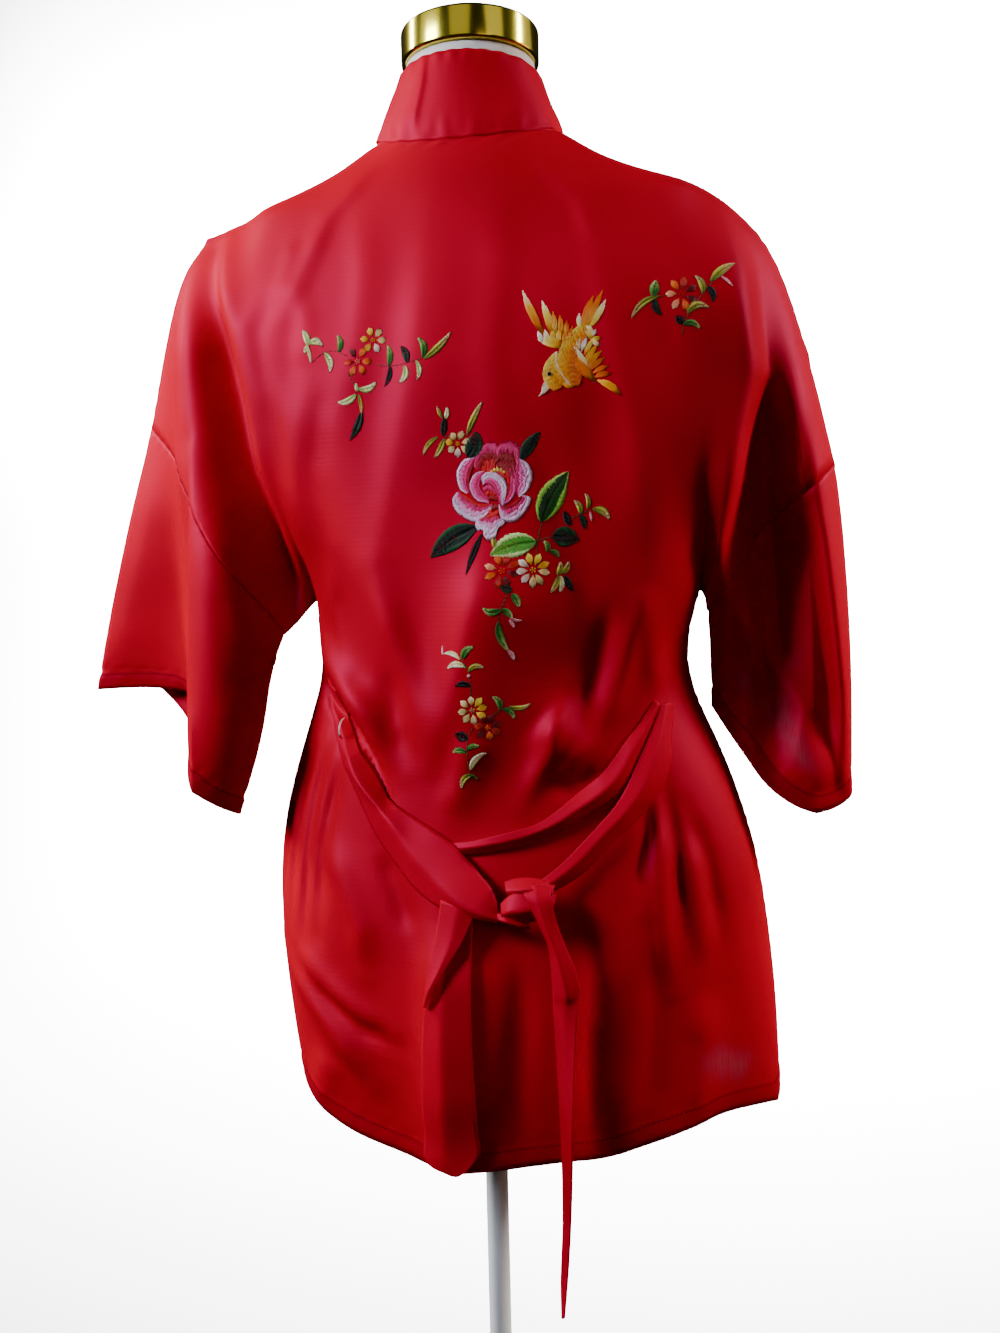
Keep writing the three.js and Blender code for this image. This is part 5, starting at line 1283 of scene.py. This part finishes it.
work = []
for x0, z0, x1, z1, half, bow, threads in FEATHERS:
    # Small feathers start under their neighbours
    tuck = 0.35 if half < 1.6 else 0.0
    start = (x0 - tuck * (x1 - x0), z0 - tuck * (z1 - z0))
    work += blade(start, (x1, z1), half + tuck, bow, threads, 0.3)
work += plumage(BODY, (STRAW, GOLD, AMBER, FLAME), 0.4)
work += plumage(HEAD, (STRAW, GOLD, AMBER), 0.48)
for k in range(COLLAR_STITCHES):
    # The cream collar crosses the neck in slanting stitches
    t = k / (COLLAR_STITCHES - 1)
    x, z = -78 - 9.5 * t + 3.2 * math.sin(math.pi * t), 1231 - 23 * t
    work.append(straight((x + 1.3, z - 0.5), (x - 1.5, z + 0.7), (SHELL, "#f4d890"), 0, 1, 0.62))
# Its open beak, then its eye: a pale ring with a black middle
work += blade((-74, 1209), (-65, 1200), 1.5, 0.4, ("#fff4c8", "#fcbca0"), 0.6, 0.6)
work += blade((-72, 1212), (-67, 1203), 1.3, 0, ("#fff4c8", "#fcd498"), 0.62, 0.6)
work += knots((-73, 1216), 1.7, 9, ("#c8bc80", "#dcd49c"), 0.8, 0.7)
work += knots((-73, 1216), 0.8, 7, ("#050505", "#0c0c0c"), 1.7, 1.1)
sew("embroidered_songbird", work)

# ---------------------------------------------------------------------------------------------
# Sash. A long tube of the same silk, turned right side out and pressed flat, sewn on at the waist.
# It comes round from the front on both sides, crosses the small of the back as loose double
# bands with a fold along the middle, and is tied low with two hanging tails.

SASH_THICK = 1.5  # mm, two layers of silk and its turnings pressed together
SASH_ROWS = 7  # steps between two rows of a band's table
SASH_CELLS = 4  # steps between two points across it
SASH_STIFF = 6  # rounds of evening out, as a band doesn't sink into each small fold
SASH_SILK_RED = "#cc0022"
SASH_SILK_SHADE = "#ba001a"
HEM_Z = 655  # mm, below which a tail hangs free

sash_silk = silk("pressed_silk_sash", SASH_SILK_RED, SASH_SILK_SHADE, False)


def back_y(x, z):
    """How far back the cloth of the robe stands at (x, z), all in mm."""
    start = Vector((x, CLEAR_BEHIND, max(z, HEM_Z))) * MM
    hit = back_tree.ray_cast(start, Vector((0, -1, 0)))[0]
    if hit is None:
        hit = back_tree.find_nearest(Vector((x, 60, max(z, HEM_Z))) * MM)[0]
    return hit.y / MM


def ribbon(name, rows):
    """A band of cloth over the back of the robe.

    Each row is the points (x, z, lift) across it in mm, from edge to edge; lift is its height
    over the robe. Rows are joined by smooth curves, points across by straight facets.
    """
    grid = spline(rows, SASH_ROWS)
    ground = np.array([[back_y(x, z) for x, z, lift in row] for row in grid])
    smooth = ground.copy()
    for turn in range(SASH_STIFF):
        smooth[1:-1] = (smooth[:-2] + 2 * smooth[1:-1] + smooth[2:]) / 4
    level = np.maximum(smooth, ground) + grid[:, :, 2]
    grid = np.stack([grid[:, :, 0], level, grid[:, :, 1]], axis=2)
    bm = bmesh.new()
    lines = []
    for row in grid:
        line = []
        for k in range(len(row) - 1):
            line += [row[k] + (row[k + 1] - row[k]) * c / SASH_CELLS for c in range(SASH_CELLS)]
        line.append(row[-1])
        lines.append([bm.verts.new(Vector(point) * MM) for point in line])
    for low, high in zip(lines, lines[1:]):
        for k in range(len(low) - 1):
            bm.faces.new((low[k], low[k + 1], high[k + 1], high[k]))
    bm.normal_update()
    if sum(face.normal.y * face.calc_area() for face in bm.faces) < 0:
        bmesh.ops.reverse_faces(bm, faces=bm.faces)
    piece = new_piece(name, bm, sash_silk)
    smooth_grid(piece, 1)
    give_wall(piece, SASH_THICK)
    return piece


# Left band: narrow and dark where it comes round the waist, then opening into two facets, and
# pulled to a point under the knot
LEFT_BAND = (
    ((106, 982, 2), (112, 984, 4), (119, 990, 2)),
    ((99, 962, 2), (108, 966, 5), (116, 976, 3)),
    ((92, 950, 2), (101, 952, 6), (112, 962, 3)),
    ((82, 936, 3), (91, 933, 9), (104, 942, 4)),
    ((71, 924, 3), (83, 920, 12), (97, 927, 4)),
    ((63, 914, 3), (72, 908, 13), (88, 914, 4)),
    ((56, 904, 3), (60, 897, 13), (79, 899, 4)),
    ((46, 898, 4), (49, 886, 14), (70, 883, 4)),
    ((34, 892, 4), (39, 874, 14), (59, 867, 4)),
    ((18, 884, 5), (29, 863, 15), (46, 853, 5)),
    ((3, 875, 6), (15, 852, 16), (32, 840, 6)),
    ((-11, 863, 8), (3, 843, 18), (15, 831, 8)),
    ((-21, 853, 10), (-10, 834, 20), (-1, 828, 12)),
    ((-30, 843, 12), (-22, 829, 20), (-17, 825, 16)),
    ((-35, 828, 14), (-35, 825, 18), (-34, 822, 16)),
)
# Upper right band: its top edge folds over, and it dies away flat under the left one
UPPER_BAND = (
    ((-146, 974, 1), (-149, 972, 4), (-152, 970, 2)),
    ((-135, 958, 2), (-139, 953, 6), (-143, 948, 2)),
    ((-126, 947, 2), (-130, 939, 8), (-135, 931, 3)),
    ((-117, 935, 2), (-123, 926, 9), (-129, 917, 3)),
    ((-108, 924, 3), (-115, 916, 9), (-121, 908, 3)),
    ((-96, 914, 4), (-103, 907, 9), (-110, 901, 3)),
    ((-84, 905, 5), (-90, 899, 9), (-97, 894, 3)),
    ((-72, 896, 6), (-78, 891, 9), (-84, 886, 3)),
    ((-60, 889, 7), (-65, 885, 9), (-70, 880, 3)),
    ((-46, 885, 8), (-50, 880, 9), (-54, 874, 3)),
    ((-30, 881, 8), (-33, 876, 9), (-35, 870, 3)),
    ((-14, 877, 6), (-16, 873, 8), (-17, 867, 3)),
    ((4, 874, 3), (2, 870, 5), (1, 865, 2)),
)
# Lower right band: broad at the side, folding to a narrow strip that runs down into the knot
LOWER_BAND = (
    ((-151, 971, 3), (-156, 971, 6), (-161, 970, 2)),
    ((-143, 950, 5), (-151, 948, 9), (-159, 945, 3)),
    ((-134, 931, 6), (-145, 929, 11), (-158, 927, 3)),
    ((-126, 914, 7), (-138, 912, 12), (-152, 909, 3)),
    ((-117, 900, 8), (-126, 896, 12), (-137, 891, 3)),
    ((-105, 887, 9), (-111, 882, 12), (-119, 876, 4)),
    ((-91, 873, 10), (-97, 868, 12), (-104, 861, 5)),
    ((-78, 861, 12), (-84, 857, 14), (-90, 850, 6)),
    ((-64, 851, 14), (-69, 847, 16), (-75, 842, 8)),
)
# Left tail: broad and flat with one pressed crease, its end cut to a blunt point
LEFT_TAIL = (
    ((-14, 832, 7), (-3, 832, 6), (8, 832, 4)),
    ((-14, 797, 6), (4, 794, 6), (17, 790, 3)),
    ((-14, 761, 6), (7, 760, 7), (22, 758, 4)),
    ((-15, 729, 6), (8, 728, 8), (25, 726, 5)),
    ((-17, 695, 6), (7, 694, 8), (26, 691, 5)),
    ((-18, 668, 6), (7, 664, 8), (25, 659, 5)),
    ((-19, 652, 7), (6, 646, 8), (24, 639, 6)),
    ((-8, 638, 7), (-2, 634, 7), (3, 633, 6)),
)
# The turn of cloth that folds down over the top of it
LEFT_WEDGE = (
    ((-20, 832, 15), (-6, 834, 17), (9, 836, 13)),
    ((-9, 809, 14), (0, 809, 15), (13, 808, 12)),
    ((3, 790, 12), (8, 790, 13), (17, 788, 10)),
    ((12, 774, 11), (16, 774, 12), (20, 772, 9)),
    ((20, 760, 9), (21, 760, 9), (22, 760, 8)),
)
# Right tail: bends down out of the knot and twists edge on, then hangs free in a long point
RIGHT_TAIL = (
    ((-73, 849, 20), (-62, 851, 24), (-51, 848, 20)),
    ((-74, 842, 27), (-65, 841, 30), (-56, 842, 27)),
    ((-77, 827, 26), (-71, 822, 31), (-64, 824, 25)),
    ((-83, 810, 24), (-78, 804, 31), (-71, 808, 24)),
    ((-90, 793, 23), (-82, 790, 31), (-73, 790, 23)),
    ((-94, 777, 22), (-85, 775, 30), (-74, 773, 22)),
    ((-92, 764, 26), (-83, 763, 26), (-74, 762, 20)),
    ((-90, 731, 28), (-83, 728, 25), (-76, 727, 19)),
    ((-88, 687, 29), (-84, 685, 25), (-78, 683, 19)),
    ((-87, 655, 29), (-84, 653, 25), (-79, 651, 20)),
    ((-85, 610, 28), (-83, 608, 25), (-79, 606, 21)),
    ((-82, 566, 26), (-80, 564, 24), (-77, 563, 22)),
    ((-79, 534, 24), (-78, 533, 23), (-77, 533, 22)),
)

sash = {
    "sash_left": ribbon("sash_band_left", LEFT_BAND),
    "sash_right_upper": ribbon("sash_band_right_upper", UPPER_BAND),
    "sash_right_lower": ribbon("sash_band_right_lower", LOWER_BAND),
    "sash_tail_left": ribbon("sash_tail_left_flat", LEFT_TAIL),
    "sash_wedge": ribbon("sash_tail_left_turn", LEFT_WEDGE),
    "sash_tail_right": ribbon("sash_tail_right_twist", RIGHT_TAIL),
}

# Knot. The left band is wrapped once round the right one: a short tight turn with a pulled fold on
# each side, as small rolls of cloth over one another.
KNOT_TURN = (
    ((-36, 836, 17), (-37, 829, 20), (-37, 822, 14)),
    ((-42, 842, 20), (-43, 832, 25), (-43, 822, 15)),
    ((-50, 846, 22), (-51, 833, 27), (-51, 821, 16)),
    ((-59, 847, 22), (-60, 834, 27), (-60, 823, 16)),
    ((-68, 845, 20), (-68, 835, 24), (-67, 826, 15)),
    ((-76, 841, 14), (-75, 835, 17), (-73, 829, 11)),
)
KNOT_ROLL = (
    ((-38, 850, 12), (-40, 845, 19), (-42, 840, 16)),
    ((-46, 853, 15), (-48, 847, 24), (-50, 841, 20)),
    ((-56, 854, 16), (-57, 848, 26), (-58, 842, 21)),
    ((-66, 852, 15), (-66, 847, 25), (-66, 842, 20)),
    ((-75, 848, 12), (-74, 844, 20), (-73, 840, 16)),
)
KNOT_TUCK = (
    ((-33, 829, 16), (-35, 825, 19), (-37, 821, 15)),
    ((-40, 829, 18), (-42, 824, 22), (-44, 819, 14)),
    ((-48, 826, 17), (-50, 821, 20), (-51, 816, 12)),
    ((-56, 824, 13), (-57, 820, 15), (-57, 816, 10)),
)
for name, rows in (("turn", KNOT_TURN), ("roll", KNOT_ROLL), ("tuck", KNOT_TUCK)):
    sash["knot_" + name] = ribbon("sash_knot_" + name, rows)

# The band's run round the front of the waist, as it lies on the fronts
SIDE_Z = 966  # mm, the middle of the band where it passes the side seams
SIDE_NARROW = 0.6  # of its width that it loses there
SIDE_FROM = -70  # mm, the place y from which it hugs the robe, over SIDE_EASE
SIDE_EASE = 60
SINK_FROM = -15  # mm, the place y from which it sinks into the gathers, over SINK_EASE
SINK_EASE = 30
SASH_SINK = 5.0  # mm that it sinks
bm = outer_grid("sash_front", (0, 0))
keep_sharp(bm, 0.6)
piece = new_piece("sash_band_front", bm, sash_silk)
smooth_grid(piece, 2)
# It narrows and sinks into the gathers of the robe where it comes round the sides
robe_skin = bmesh.new()
for node in ("back", "front_left", "front_right"):
    robe_skin.from_mesh(skins[node].data)
robe_tree = BVHTree.FromBMesh(robe_skin)
robe_skin.free()
for corner in piece.data.vertices:
    side = float(smoothstep((corner.co.y / MM - SIDE_FROM) / SIDE_EASE))
    corner.co.z = SIDE_Z * MM + (corner.co.z - SIDE_Z * MM) * (1 - SIDE_NARROW * side)
    place = robe_tree.find_nearest(corner.co)[0]
    outwards = Vector((place.x, place.y, 0)).normalized()
    proud = SASH_THICK * 1.2 - SASH_SINK * smoothstep((corner.co.y / MM - SINK_FROM) / SINK_EASE)
    corner.co = corner.co.lerp(place + outwards * proud * MM, side)
give_wall(piece, SASH_THICK)
sash["sash_front"] = piece

# Every stretch of the sash: its key, the node it stands for if any, and its cut size (m)
SASH_CUT = (
    ("sash_left", "sash_left", (0.036, 0.205)),
    ("sash_right_upper", "sash_right_upper", (0.019, 0.19)),
    ("sash_right_lower", "sash_right_lower", (0.028, 0.15)),
    ("sash_tail_left", "sash_tail_left", (0.042, 0.19)),
    ("sash_wedge", None, (0.018, 0.075)),
    ("sash_tail_right", "sash_tail_right", (0.016, 0.33)),
    ("knot_turn", "sash_knot", (0.026, 0.04)),
    ("knot_roll", None, (0.016, 0.04)),
    ("knot_tuck", None, (0.012, 0.025)),
    ("sash_front", "sash_front", (0.036, 0.60)),
)
for key, node, flat in SASH_CUT:
    piece = sash[key]
    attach(piece, "root")
    if node:
        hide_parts(node)
    held = "hung" if "tail" in key else "draped"

# ---------------------------------------------------------------------------------------------
# Belt loop. A few cotton threads twisted together, sewn down at both ends, that hold the left
# band near the side seam. Their pale colour is a painted highlight along the loop.

COTTON_PAINTED_HIGHLIGHT_PALE = "#d8a8a4"
PLY_PITCH = 4.737  # mm along the thread from ply to ply
LOOP_THREAD = 0.8  # mm radius, drawn a little thicker than the real one
LOOP_HALF = 8.5  # mm, half its length
LOOP_STAND = 15.0  # mm it stands off the robe, over the band
LOOP_SUNK = 0.5  # mm of its ends, sewn into the cloth
LOOP_PLACE = (100, 951)  # mm, x and z

# Twisted cotton: dry and matt, with slanting plies, coloured pale all over as a painted highlight
cotton, tree, shader = new_material("twisted_cotton_thread")
place = add_node(tree, "ShaderNodeTexCoord").outputs["Object"]
# A diagonal wave turns 10 radians in each unit along an axis
plies = add_node(tree, "ShaderNodeTexWave",
                 {"Vector": place, "Scale": 2 * math.pi / 10 / (PLY_PITCH * MM)},
                 wave_type="BANDS", bands_direction="DIAGONAL")
bump = add_node(tree, "ShaderNodeBump", {"Strength": 0.6, "Distance": 0.2 * MM,
                                         "Height": plies.outputs["Fac"]})
shader.inputs["Base Color"].default_value = linear(COTTON_PAINTED_HIGHLIGHT_PALE)
shader.inputs["Roughness"].default_value = 0.7
tree.links.new(bump.outputs["Normal"], shader.inputs["Normal"])

bm = bmesh.new()
ring = bmesh.ops.create_circle(bm, segments=8, radius=LOOP_THREAD * MM,
                               matrix=Matrix.Translation((0, 0, LOOP_HALF * MM)))["verts"]
bmesh.ops.rotate(bm, verts=ring, cent=(0, 0, LOOP_HALF * MM),
                 matrix=Matrix.Rotation(math.pi / 2, 3, "Z"))
edges = list(bm.edges)
bmesh.ops.spin(bm, geom=ring + edges, cent=(0, 0, 0), axis=(-1, 0, 0), dvec=(0, 0, 0),
               angle=math.pi, steps=24)
bmesh.ops.holes_fill(bm, edges=[edge for edge in bm.edges if edge.is_boundary])
bmesh.ops.scale(bm, verts=bm.verts, vec=(1, LOOP_STAND / LOOP_HALF, 1))
bmesh.ops.translate(bm, verts=bm.verts,
                    vec=Vector((LOOP_PLACE[0], back_y(*LOOP_PLACE) - LOOP_SUNK,
                                LOOP_PLACE[1])) * MM)
bmesh.ops.recalc_face_normals(bm, faces=bm.faces)
belt_loop = new_piece("thread_belt_loop", bm, cotton)
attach(belt_loop, "root")

# ---------------------------------------------------------------------------------------------
# Studio. A seamless pale paper floor that curves up behind, a small cool softbox high on the side
# of the left sleeve, a weak warm fill on the other side, a warm rim light beyond the right sleeve,
# four cards for the cap to reflect, and two strong lights on the paper.

PAPER = "#f4f4f4"
PAPER_GLOW = 1.0  # the paper is lit from behind too
FLOOR_FRONT = 4000  # mm towards the camera
FLOOR_BACK = -2600  # mm behind the form
SWEEP = 1200  # mm radius of the curve up
WALL_TOP = 5200  # mm
FLOOR_SIDE = 5000  # mm to each side

paper, tree, shader = new_material("seamless_paper")
shader.inputs["Base Color"].default_value = linear(PAPER)
shader.inputs["Roughness"].default_value = 0.9
shader.inputs["Emission Color"].default_value = linear(PAPER)
shader.inputs["Emission Strength"].default_value = PAPER_GLOW
profile = [(FLOOR_FRONT, 0), (FLOOR_BACK + SWEEP, 0)]
for step in range(1, 13):
    angle = math.radians(7.5 * step)
    profile.append((FLOOR_BACK + SWEEP - SWEEP * math.sin(angle), SWEEP - SWEEP * math.cos(angle)))
profile.append((FLOOR_BACK, WALL_TOP))
bm = bmesh.new()
rows = [[bm.verts.new((x * MM, y * MM, z * MM)) for x in (-FLOOR_SIDE, FLOOR_SIDE)]
        for y, z in profile]
for low, high in zip(rows, rows[1:]):
    bm.faces.new((low[1], low[0], high[0], high[1]))
bmesh.ops.recalc_face_normals(bm, faces=bm.faces)
floor = new_piece("floor", bm, paper)
# The lit paper stands well behind the robe, so none of its light comes back onto the cloth
floor.visible_diffuse = False
floor.visible_glossy = False


def softbox(name, place, aim, size, power, colour, spread=180):
    """A square area light at a place in mm, turned to its aim, its beam spread degrees wide."""
    light = bpy.data.lights.new(name, "AREA")
    light.shape = "SQUARE"
    light.size = size * MM
    light.energy = power
    light.color = linear(colour)[:3]
    light.spread = math.radians(spread)
    lamp = bpy.data.objects.new(name, light)
    lamp.location = Vector(place) * MM
    lamp.rotation_euler = (Vector(aim) - Vector(place)).to_track_quat("-Z", "Y").to_euler()
    bpy.context.scene.collection.objects.link(lamp)
    return lamp


softbox("key", (1160, 880, 1840), (0, 0, 1060), 440, 41, "#dfe8ff")
softbox("fill", (-1300, 2000, 1700), (0, 0, 1000), 900, 2.5, "#ffe0cc")
softbox("rim", (-1700, -400, 1400), (0, 0, 1150), 900, 6.5, "#ffb89c")
# Cards that light only what is polished, high up where the cap's wall looks
for name, place, size, power in (("card_left", (2300, 1400, 2700), 1700, 6),
                                 ("card_middle", (300, 2900, 2900), 1700, 5),
                                 ("card_right", (-2300, 1900, 2800), 1500, 6),
                                 ("card_far", (-2600, -1200, 2700), 1500, 4)):
    softbox(name, place, (0, 0, 1490), size, power, "#fff6e8").visible_diffuse = False
softbox("backdrop_left", (2300, -900, 2600), (0, -2600, 1000), 1500, 800, "#ffffff", 92)
softbox("backdrop_right", (-2300, -900, 2600), (0, -2600, 1000), 1500, 800, "#ffffff", 92)

world = bpy.data.worlds.new("studio")
world.use_nodes = True
world.node_tree.nodes["Background"].inputs["Color"].default_value = linear("#ffffff")
world.node_tree.nodes["Background"].inputs["Strength"].default_value = 0.01
bpy.context.scene.world = world

# Camera: close behind the robe and level with its middle, a little towards the right sleeve
CAMERA_PLACE = (-163.2, 925.7, 1088.0)  # mm
CAMERA_RIGHT = (-0.9873, -0.1576, -0.0226)
CAMERA_UP = (-0.0060, -0.1051, 0.9944)
CAMERA_LENS = 29.7  # mm, on a sensor 36 mm high

camera_data = bpy.data.cameras.new("camera")
camera_data.sensor_fit = "VERTICAL"
camera_data.sensor_height = 36.0
camera_data.lens = CAMERA_LENS
camera_data.clip_end = 50.0
camera = bpy.data.objects.new("camera", camera_data)
right, up = Vector(CAMERA_RIGHT).normalized(), Vector(CAMERA_UP)
backward = right.cross(up).normalized()
up = backward.cross(right)
turn = Matrix((right, up, backward)).transposed()
camera.matrix_world = Matrix.Translation(Vector(CAMERA_PLACE) * MM) @ turn.to_4x4()
bpy.context.scene.collection.objects.link(camera)
bpy.context.scene.camera = camera
